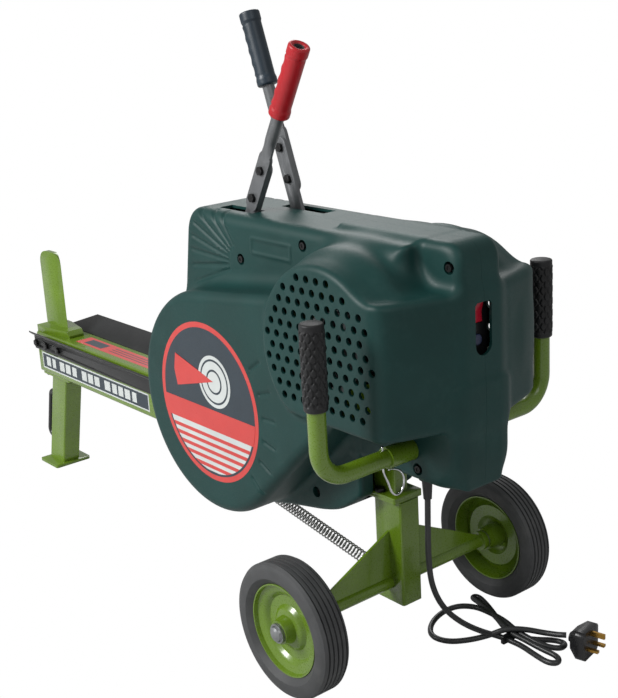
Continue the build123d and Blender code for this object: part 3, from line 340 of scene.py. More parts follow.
BLACK_OXIDE = Finish("black_oxide_steel", "black_bolts", "1c1c1d", "262626", 0.38, metallic=0.6, grain_mm=0.5,
                     grain_height_mm=0.01)
# Solid wheel rubber: grey with handling dust, dull
TYRE = Finish("moulded_wheel_rubber", "rubber_tyre", "3a3b3c", "444546", 0.62, grain_mm=0.9, grain_height_mm=0.06,
              blotch_mm=35, roughness_spread=0.12, dust="6a6864", dust_amount=0.22, specular=0.4)
GRIP_RUBBER = Finish("moulded_grip_rubber", "black_rubber", "101011", "17181a", 0.5, grain_mm=0.7,
                     grain_height_mm=0.05, specular=0.4)
RED_GRIP = Finish("soft_pvc_grip_red", "red_grip", "b0101c", "a00d18", 0.4, grain_mm=0.8,
                  grain_height_mm=0.03)
BLUE_GRIP = Finish("soft_pvc_grip_blue", "blue_grip", "16242e", "1b2b37", 0.42, grain_mm=0.8,
                   grain_height_mm=0.03)
RED_LENS = Finish("moulded_rocker_red", "red_rocker", "9c1428", "b01a30", 0.3, grain_mm=0.8,
                  grain_height_mm=0.01)
BLUE_CAP = Finish("moulded_button_blue", "blue_button", "1c2440", "232c4a", 0.32, grain_mm=0.8,
                  grain_height_mm=0.01)
BLACK_ABS = Finish("moulded_abs_black", "black_plastic", "0b0b0d", "111113", 0.36, grain_mm=0.9,
                   grain_height_mm=0.03)
PVC = Finish("pvc_cord_sheath", "cord_pvc", "1a1b1c", "232425", 0.42, grain_mm=0.8, grain_height_mm=0.02)
BRASS = Finish("bright_brass", "brass", "b58d45", "a27c38", 0.26, metallic=1.0, grain_mm=0.5,
               grain_height_mm=0.005)
ALLOY = Finish("die_cast_alloy", "alloy", "8e9092", "7c7e80", 0.45, metallic=0.9, grain_mm=1.0,
               grain_height_mm=0.03)
# Printed vinyl: smooth film, a colour each
VINYL_RED = Finish("printed_vinyl_red", "green_shell", "c23a36", "b93531", 0.34, grain_mm=3,
                   grain_height_mm=0.005)
VINYL_DARK = Finish("printed_vinyl_dark", "green_shell", "1d2d38", "182630", 0.34, grain_mm=3,
                    grain_height_mm=0.005)
VINYL_PALE = Finish("printed_vinyl_pale", "green_shell", "c3c8c6", "b7bcba", 0.34, grain_mm=3,
                    grain_height_mm=0.005)

NODE_FINISHES: dict[Finish, tuple] = {
    SHELL: ("housing_left", "housing_right"),
    POWDER: ("main_beam", "splitting_wedge", "front_leg", "rear_post", "rear_post_stub", "rear_axle",
             "frame_plates", "handle_sleeve", "handle_tube_left", "handle_tube_right", "wheel_rim_left",
             "wheel_rim_right"),
    BLACK_STEEL: ("log_wing_left", "log_wing_right", "push_plate"),
    ZINC: ("pinion_shaft", "shaft_bearings", "motor_rotor", "rack", "roller_fork", "pressure_roller",
           "lever_pivots", "axle_caps", "wheel_bearing_left", "wheel_bearing_right"),
    LEVER_STEEL: ("engage_lever_arm", "engage_lever_tube", "safety_lever_arm", "safety_lever_tube"),
    CHROME: ("spring_clip_left", "spring_clip_right"),
    CAST_IRON: ("flywheel_left", "flywheel_right"),
    BLACK_OXIDE: ("frame_bolts", "engage_lever_bolts", "safety_lever_bolts", "housing_screws"),
    TYRE: ("wheel_tyre_left", "wheel_tyre_right"),
    GRIP_RUBBER: ("drive_belt",),
    RED_LENS: ("switch_rocker",),
    BLUE_CAP: ("reset_button",),
    BLACK_ABS: ("carry_handle", "switch_block", "motor_fan", "cord_gland", "cord_tie", "plug_body"),
    BRASS: ("plug_pins",),
    ALLOY: ("motor_casing", "motor_pulley"),
}

SHARP_EDGED = {"main_beam": 1.2, "splitting_wedge": 1.0, "front_leg": 1.0, "rear_post": 1.0, "rear_post_stub": 0.8,
               "log_wing_left": 0.7, "log_wing_right": 0.7, "push_plate": 1.0, "rear_axle": 0.8,
               "frame_bolts": 0.6, "engage_lever_bolts": 0.6, "safety_lever_bolts": 0.6, "plug_body": 1.2,
               "switch_rocker": 0.8, "engage_lever_arm": 0.6, "safety_lever_arm": 0.6, "rack": 0.4}


def dress_cad_nodes() -> None:
    """Gives every CAD node its finish and its rounded or softly shaded edges."""
    for finish, names in NODE_FINISHES.items():
        for name in names:
            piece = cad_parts[name]
            finish.dress(piece)
            if name in SHARP_EDGED:
                bevelled(piece, SHARP_EDGED[name])
            else:
                soft_shaded(piece)


# ---------------------------------------------------------------- studio

@dataclass
class Studio:
    """Pale floor, soft lights and the camera."""

    eye_mm: tuple = (-1812.3, 1206.3, 1036.9)
    azimuth: float = 231.6211
    elevation: float = 16.982
    roll: float = -3.3308
    lens_mm: float = 64.77

    def camera(self) -> None:
        """Camera at the viewing angle: its back axis is (sin a cos e, -cos a cos e, sin e), turned by its roll."""
        a, e, tilt = radians(self.azimuth), radians(self.elevation), radians(self.roll)
        back = Vector((sin(a) * cos(e), -cos(a) * cos(e), sin(e)))
        right = (-back).cross(Vector((0, 0, 1))).normalized()
        up = right.cross(-back)
        turned_right = right * cos(tilt) + up * sin(tilt)
        turned_up = up * cos(tilt) - right * sin(tilt)
        data = bpy.data.cameras.new("camera")
        data.lens = self.lens_mm
        data.sensor_width = 36.0
        data.clip_end = 50.0
        viewer = bpy.data.objects.new("camera", data)
        viewer.matrix_world = Matrix.Translation(Vector(self.eye_mm) * MM) @ Matrix(
            (turned_right, turned_up, back)).transposed().to_4x4()
        bpy.context.scene.collection.objects.link(viewer)
        bpy.context.scene.camera = viewer

    def floor(self) -> None:
        """Large pale floor just under the machine."""
        half = 8.0
        ground = make_object("floor", np.array([[-half, -half, -0.0002], [half, -half, -0.0002],
                                                [half, half, -0.0002], [-half, half, -0.0002]]), [[0, 1, 2, 3]])
        material = bpy.data.materials.new("pale_floor")
        material.use_nodes = True
        tree = material.node_tree
        shader = tree.nodes["Principled BSDF"]
        shader.inputs["Base Color"].default_value = colour("c8c8c8")
        shader.inputs["Roughness"].default_value = 0.9
        # The floor lights the machine from below but is plain white to the camera
        white = add_node(tree, "ShaderNodeEmission", Color=(1, 1, 1, 1), Strength=1.0)
        path = add_node(tree, "ShaderNodeLightPath")
        add_node(tree, "ShaderNodeMixShader", i0=path.outputs["Is Camera Ray"], i1=shader.outputs["BSDF"],
                 i2=white.outputs["Emission"])
        tree.links.new(tree.nodes["Mix Shader"].outputs[0], tree.nodes["Material Output"].inputs["Surface"])
        ground.data.materials.append(material)

    def lamp(self, name: str, place: tuple, size: float, power: float) -> None:
        """Square soft light that faces the machine.

        Args:
            name: name of the light.
            place: where it hangs, in metres.
            size: side of its panel in metres.
            power: its power in watts.
        """
        data = bpy.data.lights.new(name, "AREA")
        data.size = size
        data.energy = power
        light = bpy.data.objects.new(name, data)
        light.location = place
        light.rotation_euler = (Vector((0, 0, 0.4)) - Vector(place)).to_track_quat("-Z", "Y").to_euler()
        bpy.context.scene.collection.objects.link(light)

    def build(self) -> None:
        """Places the camera, the floor, the lights and a pale surround."""
        self.camera()
        self.floor()
        self.lamp("key_light", (1.0, 3.2, 2.6), 1.4, 175.0)
        self.lamp("fill_light", (-3.0, 1.0, 2.8), 1.6, 14.0)
        self.lamp("rim_light", (2.4, -2.2, 2.6), 1.6, 40.0)
        world = bpy.data.worlds.new("surround")
        bpy.context.scene.world = world
        world.use_nodes = True
        tree = world.node_tree
        backdrop = tree.nodes["Background"]
        backdrop.inputs["Color"].default_value = (1, 1, 1, 1)
        backdrop.inputs["Strength"].default_value = 0.42
        white = add_node(tree, "ShaderNodeBackground", Color=(1, 1, 1, 1), Strength=1.0)
        path = add_node(tree, "ShaderNodeLightPath")
        mix = add_node(tree, "ShaderNodeMixShader", i0=path.outputs["Is Camera Ray"],
                       i1=backdrop.outputs["Background"], i2=white.outputs["Background"])
        tree.links.new(mix.outputs[0], tree.nodes["World Output"].inputs["Surface"])
        bpy.context.scene.view_settings.view_transform = "Standard"


# ---------------------------------------------------------------- mains cord

@dataclass
class MainsCord:
    """The mains lead: it hangs from its gland, is tied in a loose hank and ends in a plug."""

    diameter_mm: float = 9.0
    hanging: tuple = ((-105.0, 34.0, 284.0), (-103.5, 34.0, 240.0), (-101.5, 33.0, 190.0), (-99.0, 26.0, 138.0),
                      (-97.5, 2.0, 90.0), (-98.0, -36.0, 50.0), (-102.0, -76.0, 20.0), (-114.0, -100.0, 7.5))
    # The hank, strand by strand: each bight goes out from the tie and comes back to it
    hank: tuple = ((-132.0, -106.0, 5.2), (-158.0, -108.0, 4.6), (-190.0, -102.0, 4.6), (-220.0, -98.0, 4.8),
                   (-232.0, -108.0, 6.0), (-222.0, -119.0, 8.0), (-190.0, -114.0, 11.0), (-158.0, -114.0, 13.0),
                   (-130.0, -113.0, 14.0), (-104.0, -124.0, 14.0), (-62.0, -142.0, 13.0), (-22.0, -155.0, 10.0),
                   (2.0, -163.0, 7.0), (0.0, -176.0, 5.2), (-22.0, -170.0, 4.6), (-60.0, -152.0, 4.6),
                   (-100.0, -130.0, 4.8), (-134.0, -121.0, 5.0), (-160.0, -136.0, 4.6), (-184.0, -158.0, 4.8),
                   (-204.0, -160.0, 5.2), (-208.0, -140.0, 6.5), (-186.0, -126.0, 9.0), (-156.0, -122.0, 13.0),
                   (-128.0, -124.0, 15.0), (-98.0, -136.0, 13.0), (-62.0, -140.0, 12.0), (-30.0, -138.0, 12.0),
                   (-4.0, -120.0, 10.0), (2.0, -88.0, 6.0), (-12.0, -52.0, 4.6), (-38.0, -28.0, 4.6),
                   (-68.0, -34.0, 4.6), (-88.0, -60.0, 4.8), (-106.0, -88.0, 9.0), (-126.0, -108.0, 22.0),
                   (-150.0, -128.0, 22.0), (-174.0, -142.0, 20.0), (-196.0, -149.5, 22.5),
                   (-204.0, -152.0, 24.5), (-207.5, -154.9, 24.5))

    def build(self) -> bpy.types.Object:
        """Returns the cord as a smooth spline through its route, ridden and dressed."""
        route = [at(*point) for point in self.hanging + self.hank]
        curve = bpy.data.curves.new("mains_cord", "CURVE")
        curve.dimensions = "3D"
        curve.bevel_depth = self.diameter_mm / 2 * MM
        curve.bevel_resolution = 5
        curve.resolution_u = 10
        curve.use_fill_caps = True
        spline = curve.splines.new("NURBS")
        spline.points.add(len(route) - 1)
        spline.points.foreach_set("co", np.hstack([route, np.ones((len(route), 1))]).ravel())
        spline.order_u = 3
        spline.use_endpoint_u = True
        cord = bpy.data.objects.new("mains_cord", curve)
        bpy.context.scene.collection.objects.link(cord)
        curve.materials.append(PVC.build())
        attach(cord, "frame")
        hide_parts("power_cord", "cord_hank")
        self.length(cord)
        return cord

    def length(self, cord: bpy.types.Object) -> float:
        """Length in metres of the cord's own smooth line, measured on a bare copy."""
        bare = cord.copy()
        bare.data = cord.data.copy()
        bare.data.bevel_depth = 0.0
        line = bpy.data.meshes.new_from_object(bare)
        points = np.empty(len(line.vertices) * 3)
        line.vertices.foreach_get("co", points)
        length = float(np.linalg.norm(np.diff(points.reshape(-1, 3), axis=0), axis=1).sum())
        bpy.data.curves.remove(bare.data)
        bpy.data.meshes.remove(line)
        LOG.info("mains cord length %.3f m", length)
        return length


# ---------------------------------------------------------------- spring

@dataclass
class ReturnSpring:
    """Long coil spring, hooked on the post's lug and on the ram's tail."""

    low: tuple = (37.5, 0.0, 102.5)
    high: tuple = (520.0, 0.0, 184.0)
    coil_radius_mm: float = 9.1
    wire_mm: float = 2.6
    pitch_mm: float = 7.4
    hook_mm: float = 14.0

    def build(self) -> None:
        """Helix: centre + r (cos t N + sin t B) + p t / 2 pi along the axis, with a ring hook at each end."""
        start, end = at(*self.low), at(*self.high)
        along = (end - start) / np.linalg.norm(end - start)
        side = np.array([0.0, 1.0, 0.0])
        up = np.cross(along, side)
        radius, hook = self.coil_radius_mm * MM, self.hook_mm * MM
        coil_length = np.linalg.norm(end - start) - 2 * hook
        turns = round(coil_length / (self.pitch_mm * MM))
        t = np.linspace(0, 2 * pi * turns, turns * 14)
        travel = hook + t / (2 * pi * turns) * coil_length
        coil = (start + travel[:, None] * along + radius * (np.cos(t)[:, None] * up + np.sin(t)[:, None] * side))
        eye = self.hook_mm * MM * 0.55
        turn = np.linspace(0, 1.75 * pi, 22)
        paths = [self.hook_path(start, along, up, eye, turn)[::-1], coil,
                 self.hook_path(end, -along, up, eye, turn)]
        spring = tube_along("return_spring_coil", np.vstack(paths), self.wire_mm / 2 * MM, 7)
        SPRING_WIRE.dress(spring)
        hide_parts("return_spring")
        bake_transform(spring)

    def hook_path(self, pin: np.ndarray, along: np.ndarray, up: np.ndarray, eye: float,
                  turn: np.ndarray) -> np.ndarray:
        """Points of the open ring round a pin, from the coil's end: pin - e cos a along + e sin a up."""
        lead = pin + along * self.hook_mm * MM * 0.95 + up * self.coil_radius_mm * MM * 0.6
        ring = pin + eye * (np.cos(turn)[:, None] * along - np.sin(turn)[:, None] * up)
        return np.vstack([lead, ring])


# ---------------------------------------------------------------- grips

@dataclass
class HandleGrip:
    """Moulded rubber sleeve with raised rounded diamonds, closed at its top."""

    side: Side
    station: float = -97.0
    reach_mm: float = 226.0
    low_mm: float = 470.0
    high_mm: float = 592.0
    radius_mm: float = 15.6
    relief_mm: float = 1.9
    diamonds_round: int = 9
    diamond_rise_mm: float = 19.0

    def build(self) -> None:
        """Surface r(a, z) = r0 + relief * s(|sin(n a/2 + k z) sin(n a/2 - k z)|), with plain end bands."""
        rows, columns = 200, 144
        z = np.linspace(self.low_mm, self.high_mm, rows)[:, None]
        angle = np.linspace(0, 2 * pi, columns, endpoint=False)[None, :]
        climb = pi * (z - self.low_mm) / self.diamond_rise_mm
        turn = self.diamonds_round * angle / 2
        lattice = np.abs(np.sin(turn + climb) * np.sin(turn - climb))
        band = smooth_step(0, 3, z - self.low_mm - 7) * smooth_step(0, 3, self.high_mm - 8 - z)
        radius = self.radius_mm + self.relief_mm * band * smooth_step(0.12, 0.5, lattice)
        # the end bands swell a little and their rims are round
        ends = 1 - band
        radius = radius + 1.2 * ends
        edge = np.minimum(z - self.low_mm, self.high_mm - z)
        round_off = 3.0 - np.sqrt(np.maximum(0, 9.0 - (3.0 - np.clip(edge, 0, 3.0)) ** 2))
        radius = radius - round_off
        centre_y = self.side.value * self.reach_mm
        points = np.stack([AXLE_X + self.station + radius * np.cos(angle), centre_y + radius * np.sin(angle),
                           np.broadcast_to(z, radius.shape)], -1).reshape(-1, 3) * MM
        centre_x = AXLE_X + self.station
        poles = np.array([[centre_x, centre_y, self.low_mm], [centre_x, centre_y, self.high_mm]]) * MM
        count = rows * columns
        ring = np.arange(columns)
        faces = grid_faces(rows, columns, False, True).tolist()
        faces += [[count, (j + 1) % columns, j] for j in ring]
        top = (rows - 1) * columns
        faces += [[count + 1, top + j, top + (j + 1) % columns] for j in ring]
        name = f"handle_grip_{self.side.name.lower()}"
        grip = face_outwards(make_object(f"{name}_moulded", np.vstack([points, poles]), faces))
        GRIP_RUBBER.dress(grip)
        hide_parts(name)
        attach(grip, f"handle_{self.side.name.lower()}")


@dataclass
class LeverGrip:
    """Soft PVC lever grip with finger swells on its front and an open end."""

    name: str
    body: str
    pivot: tuple
    lean: float
    y_mm: float
    finish: Finish
    start_mm: float = 256.0
    end_mm: float = 377.0
    radius_mm: float = 15.6
    fingers: int = 4

    def build(self) -> None:
        """Surface r(a, s) = r0 + swell(s) (1 + cos a) / 2, cos a being 1 on the lever's front, and a bore."""
        up = np.array([sin(radians(self.lean)), 0.0, cos(radians(self.lean))])
        ahead = np.array([cos(radians(self.lean)), 0.0, -sin(radians(self.lean))])
        side = np.array([0.0, 1.0, 0.0])
        rows, columns = 150, 72
        s = np.linspace(self.start_mm, self.end_mm, rows)[:, None]
        angle = np.linspace(0, 2 * pi, columns, endpoint=False)[None, :]
        share = (s - self.start_mm) / (self.end_mm - self.start_mm)
        span = np.clip((share - 0.16) / 0.66, 0, 1)
        ridge = np.abs(np.cos(pi * self.fingers * span)) ** 3 * (share > 0.16) * (share < 0.82)
        facing = np.clip(0.25 + 0.75 * np.cos(angle), 0, 1)
        radius = self.radius_mm + 1.4 * ridge * facing
        collar = smooth_step(0.84, 0.88, share) + smooth_step(0.14, 0.08, share)
        radius = radius + 1.3 * np.clip(collar, 0, 1)
        edge = np.minimum(s - self.start_mm, self.end_mm - s)
        radius = radius - (3.5 - np.sqrt(np.maximum(0, 12.25 - (3.5 - np.clip(edge, 0, 3.5)) ** 2)))
        bore = np.array([[self.end_mm - 1.5, 9.0], [self.end_mm - 22, 8.6], [self.end_mm - 22.5, 0.3]])
        origin = at(self.pivot[0], self.y_mm, self.pivot[1])

        def place(distance: np.ndarray, width: np.ndarray) -> np.ndarray:
            """Point at a distance up the lever and a width from its axis."""
            return (origin + distance[..., None] * MM * up
                    + width[..., None] * MM * (np.cos(angle)[..., None] * ahead + np.sin(angle)[..., None] * side))

        outer = place(np.broadcast_to(s, radius.shape), radius)
        inner = place(np.broadcast_to(bore[:, :1], (3, columns)), np.broadcast_to(bore[:, 1:], (3, columns)))
        foot = place(np.full((1, columns), self.start_mm), np.full((1, columns), 0.3))
        points = np.concatenate([foot, outer, inner]).reshape(-1, 3)
        total = rows + 4
        faces = grid_faces(total, columns, False, True).tolist()
        faces += [list(range(columns)), list(range((total - 1) * columns, total * columns))[::-1]]
        grip = face_outwards(make_object(f"{self.name}_moulded", points, faces))
        self.finish.dress(grip)
        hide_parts(self.name)
        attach(grip, self.body)


@dataclass
class SpringClip:
    """R-shaped wire clip: a straight leg through the handle and a round loop that springs over it."""

    side: Side
    station: float = -97.0
    wire_mm: float = 3.2
    path: tuple = ((111.0, 386.0), (111.0, 366.0), (111.0, 350.0), (109.4, 343.0), (106.0, 335.0), (102.0, 326.0),
                   (98.5, 316.0), (93.5, 308.0), (86.5, 304.4), (79.0, 306.6), (73.8, 313.6), (72.0, 323.0),
                   (74.2, 332.6), (80.0, 340.0), (88.0, 344.6), (96.5, 347.4), (102.0, 347.2))

    def build(self) -> None:
        """Smooth line through the clip's points, each span being a Catmull-Rom cubic of its four neighbours."""
        points = np.array([at(self.station, self.side.value * y, z) for y, z in self.path])
        padded = np.vstack([2 * points[0] - points[1], points, 2 * points[-1] - points[-2]])
        spans = []
        for before, start, end, after in zip(padded, padded[1:], padded[2:], padded[3:]):
            t = np.linspace(0, 1, 7)[:-1, None]
            spans.append(0.5 * (2 * start + (end - before) * t
                                + (2 * before - 5 * start + 4 * end - after) * t ** 2
                                + (3 * start - before - 3 * end + after) * t ** 3))
        label = self.side.name.lower()
        clip = tube_along(f"spring_clip_wire_{label}", np.vstack(spans), self.wire_mm / 2 * MM, 12)
        CHROME.dress(clip)
        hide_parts(f"spring_clip_{label}")
        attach(clip, f"clip_{label}")


# ---------------------------------------------------------------- moulded housing

def smooth_min(a: np.ndarray, b: np.ndarray, reach: float) -> np.ndarray:
    """Smaller of two distances, blended where they differ by less than reach: b(1-h) + ah - k h(1-h)."""
    share = np.clip(0.5 + 0.5 * (b - a) / reach, 0, 1)
    return b * (1 - share) + a * share - reach * share * (1 - share)


def smooth_max(a: np.ndarray, b: np.ndarray, reach: float) -> np.ndarray:
    """Larger of two distances, rounded where they meet."""
    return -smooth_min(-a, -b, reach)


def rounded_prism(outline: np.ndarray, y: np.ndarray, half: float, radius: float) -> np.ndarray:
    """Distance to a side outline carried to both sides of the machine, its outer edges rounded.

    Args:
        outline: distance to the outline in the side view.
        y: distance from the centre plane.
        half: half width of the prism.
        radius: radius of its outer edges.

    Returns:
        Distance to the prism, negative inside.
    """
    across, out = outline + radius, np.abs(y) - half + radius
    return np.minimum(np.maximum(across, out), 0) + np.hypot(np.maximum(across, 0), np.maximum(out, 0)) - radius


@dataclass
class ShellShape:
    """The housing's outer skin as one smooth distance field, in station, Y and Z millimetres."""

    shaft: tuple = (297.0, 362.0)
    motor: tuple = (-20.0, 512.0)
    cover_radius: float = 187.0
    belt_radius: float = 78.0
    cowl_radius: float = 130.0
    rear: float = -187.0

    def belt_outline(self, x: np.ndarray, z: np.ndarray) -> np.ndarray:
        """Distance to the outline round two circles of different size and their common tangents."""
        gap = hypot(self.motor[0] - self.shaft[0], self.motor[1] - self.shaft[1])
        along = ((x - self.shaft[0]) * (self.motor[0] - self.shaft[0])
                 + (z - self.shaft[1]) * (self.motor[1] - self.shaft[1])) / gap
        aside = np.abs((x - self.shaft[0]) * (self.motor[1] - self.shaft[1])
                       - (z - self.shaft[1]) * (self.motor[0] - self.shaft[0])) / gap
        slope = (self.cover_radius - self.belt_radius) / gap
        rise = (1 - slope ** 2) ** 0.5
        turn = along * rise - aside * slope
        tangent = aside * rise + along * slope - self.cover_radius
        big = np.hypot(aside, along) - self.cover_radius
        small = np.hypot(aside, along - gap) - self.belt_radius
        return np.where(turn < 0, big, np.where(turn > rise * gap, small, tangent))

    def cover(self, x: np.ndarray, y: np.ndarray, z: np.ndarray) -> np.ndarray:
        """Flywheel and belt cover, with shallow grooves fanning out from the badge."""
        mass = rounded_prism(self.belt_outline(x, z), y, 140.0, 18.0)
        badge = (290.6, 366.3)
        reach = np.hypot(x - badge[0], z - badge[1])
        bearing = np.degrees(np.arctan2(z - badge[1], badge[0] - x))
        on_ring = smooth_step(143, 147, reach) * smooth_step(182, 176, reach) * (np.abs(y) > 110)
        groove = np.zeros_like(mass)
        for angle in (34, 18, 3, -12, -27, -43):
            aside = reach * np.radians(np.abs(bearing - angle))
            groove = np.maximum(groove, smooth_step(4.6, 0.8, aside))
        return mass + 2.6 * groove * on_ring

    def cowl(self, x: np.ndarray, y: np.ndarray, z: np.ndarray) -> np.ndarray:
        """Motor cowl: drum and tail with slanted rear walls, and the barrel that swells inwards."""
        drum = np.hypot(x - self.motor[0], z - self.motor[1])
        tail = np.maximum(np.maximum(z - 606, x - self.motor[0]), -196 - x)
        outline = smooth_max(smooth_min(drum - self.cowl_radius, tail, 16), 410 - z, 14)
        side = np.abs(y)
        slant = (x + 187) * -0.9507 + (side - 43) * 0.3108
        corner = ((x + 153) * -1 + (side - 147)) * 0.7071
        plan = smooth_max(smooth_max(self.rear - x, slant, 8), corner, 12)
        shell = smooth_max(rounded_prism(outline, y, 157.0, 9.0), plan, 14)
        swell = 20 * smooth_step(157, 96, side)
        barrel = smooth_max(smooth_max(0.94 * (drum - self.cowl_radius + 3 - swell), side - 143, 10), 410 - z, 14)
        barrel = smooth_max(barrel, -178 - x, 12)
        return smooth_min(shell, barrel, 14)

    def body(self, x: np.ndarray, y: np.ndarray, z: np.ndarray) -> np.ndarray:
        """Upper body with its fluted front corner, the raised plate and the rear spine."""
        front = (x - 440) * 0.982 + (z - 519) * 0.189
        outline = smooth_max(smooth_max(front, z - 666, 34), smooth_max(-110 - x, 430 - z, 8), 8)
        mass = rounded_prism(outline, y, 75.0, 20.0)
        hub = (262.0, 588.0)
        reach = np.hypot(x - hub[0], z - hub[1])
        bearing = np.degrees(np.arctan2(z - hub[1], x - hub[0]))
        on_side = (np.abs(y) > 55) * smooth_step(28, 36, reach) * smooth_step(150, 132, reach)
        groove = np.zeros_like(mass)
        for angle in (-20, -8, 3, 13, 23, 33, 44, 56):
            aside = reach * np.radians(np.abs(bearing - angle))
            groove = np.maximum(groove, smooth_step(5.2, 0.8, aside))
        mass = mass + 2.6 * groove * on_side
        inside = np.minimum(52 - np.abs(x - 182), 15 - np.abs(z - 624))
        plate = smooth_step(0, 2, inside) - smooth_step(5, 7, inside)
        mass = mass - 1.5 * plate * (np.abs(y) > 55)
        spine = np.maximum(smooth_max(z - 673, self.rear - x, 34), np.maximum(318 - z, x - 60))
        return smooth_min(mass, rounded_prism(spine, y, 43.0, 14.0), 14)

    def core(self, x: np.ndarray, y: np.ndarray, z: np.ndarray) -> np.ndarray:
        """Lower core behind the post, and the keel under the belt cover."""
        core = smooth_max(smooth_max(self.rear - x, 318 - z, 50), np.maximum(x - 45, z - 470), 6)
        keel = np.maximum(np.maximum(16 - x, x - 330), z - 430)
        for px, pz, nx, nz in ((16, 256, -0.6055, -0.7958), (62, 221, -0.3905, -0.9205),
                               (95, 207, -0.19, -0.9817)):
            keel = smooth_max(keel, (x - px) * nx + (z - pz) * nz, 8)
        return smooth_min(rounded_prism(core, y, 57.0, 14.0), rounded_prism(keel, y, 57.0, 7.0), 8)

    def distance(self, x: np.ndarray, y: np.ndarray, z: np.ndarray) -> np.ndarray:
        """Distance to the whole skin, its masses run together in soft hollows."""
        whole = smooth_min(self.body(x, y, z), self.cover(x, y, z), 30)
        whole = smooth_min(whole, self.cowl(x, y, z), 18)
        return smooth_min(whole, self.core(x, y, z), 14)


def surface_of(distance, low: tuple, high: tuple, step: float) -> tuple:
    """Closed quad surface where a distance is zero: one point in each cell that the surface crosses.

    The point is the mean of the crossings on the cell's edges, moved twice along the gradient by the
    distance left.

    Args:
        distance: function of x, y and z arrays.
        low: lowest corner of the sampled box.
        high: highest corner.
        step: size of a cell.

    Returns:
        (points, quads).
    """
    axes = [np.arange(a, b + step, step, dtype=np.float32) for a, b in zip(low, high)]
    x, y, z = np.meshgrid(*axes, indexing="ij")
    value = distance(x, y, z).astype(np.float32)
    shape = tuple(n - 1 for n in value.shape)

    def corner(i: int, j: int, k: int) -> np.ndarray:
        """Values at one corner of every cell."""
        return value[i:i + shape[0], j:j + shape[1], k:k + shape[2]]

    total = np.zeros(shape + (3,), dtype=np.float32)
    count = np.zeros(shape, dtype=np.float32)
    for axis in range(3):
        for first in (0, 1):
            for second in (0, 1):
                start = np.insert([first, second], axis, 0)
                end = np.insert([first, second], axis, 1)
                a, b = corner(*start), corner(*end)
                crossed = (a < 0) != (b < 0)
                share = np.where(crossed, a / np.where(crossed, a - b, 1), 0)
                for direction in range(3):
                    place = share if direction == axis else float(start[direction])
                    total[..., direction] += crossed * place
                count += crossed
    active = count > 0
    number = np.full(shape, -1)
    number[active] = np.arange(active.sum())
    cells = np.stack(np.nonzero(active), -1)
    points = np.array(low) + step * (cells + total[active] / count[active][:, None])
    quads = []
    for axis in range(3):
        a = value
        b = np.roll(value, -1, axis)
        crossed = (a < 0) != (b < 0)
        inner = [slice(1, n) for n in shape]
        inner[axis] = slice(0, shape[axis])
        where = np.stack(np.nonzero(crossed[tuple(inner)]), -1) + [0 if d == axis else 1 for d in range(3)]
        u, v = [d for d in range(3) if d != axis]
        offset_u, offset_v = np.eye(3, dtype=int)[u], np.eye(3, dtype=int)[v]
        ring = [where - offset_u - offset_v, where - offset_v, where, where - offset_u]
        quad = np.stack([number[tuple(cell.T)] for cell in ring], -1)
        outwards = (a[tuple(where.T)] < 0) ^ (axis == 1)
        quads.append(np.where(outwards[:, None], quad, quad[:, ::-1]))
    quads = np.concatenate(quads)
    for _ in range(2):
        nudge = 0.4
        here = distance(*points.T)
        slope = np.stack([distance(*(points + nudge * np.eye(3)[d]).T) - here for d in range(3)], -1) / nudge
        slope /= np.maximum(np.linalg.norm(slope, axis=1), 0.3)[:, None]
        points = points - slope * np.clip(here, -step / 2, step / 2)[:, None]
    return points, quads


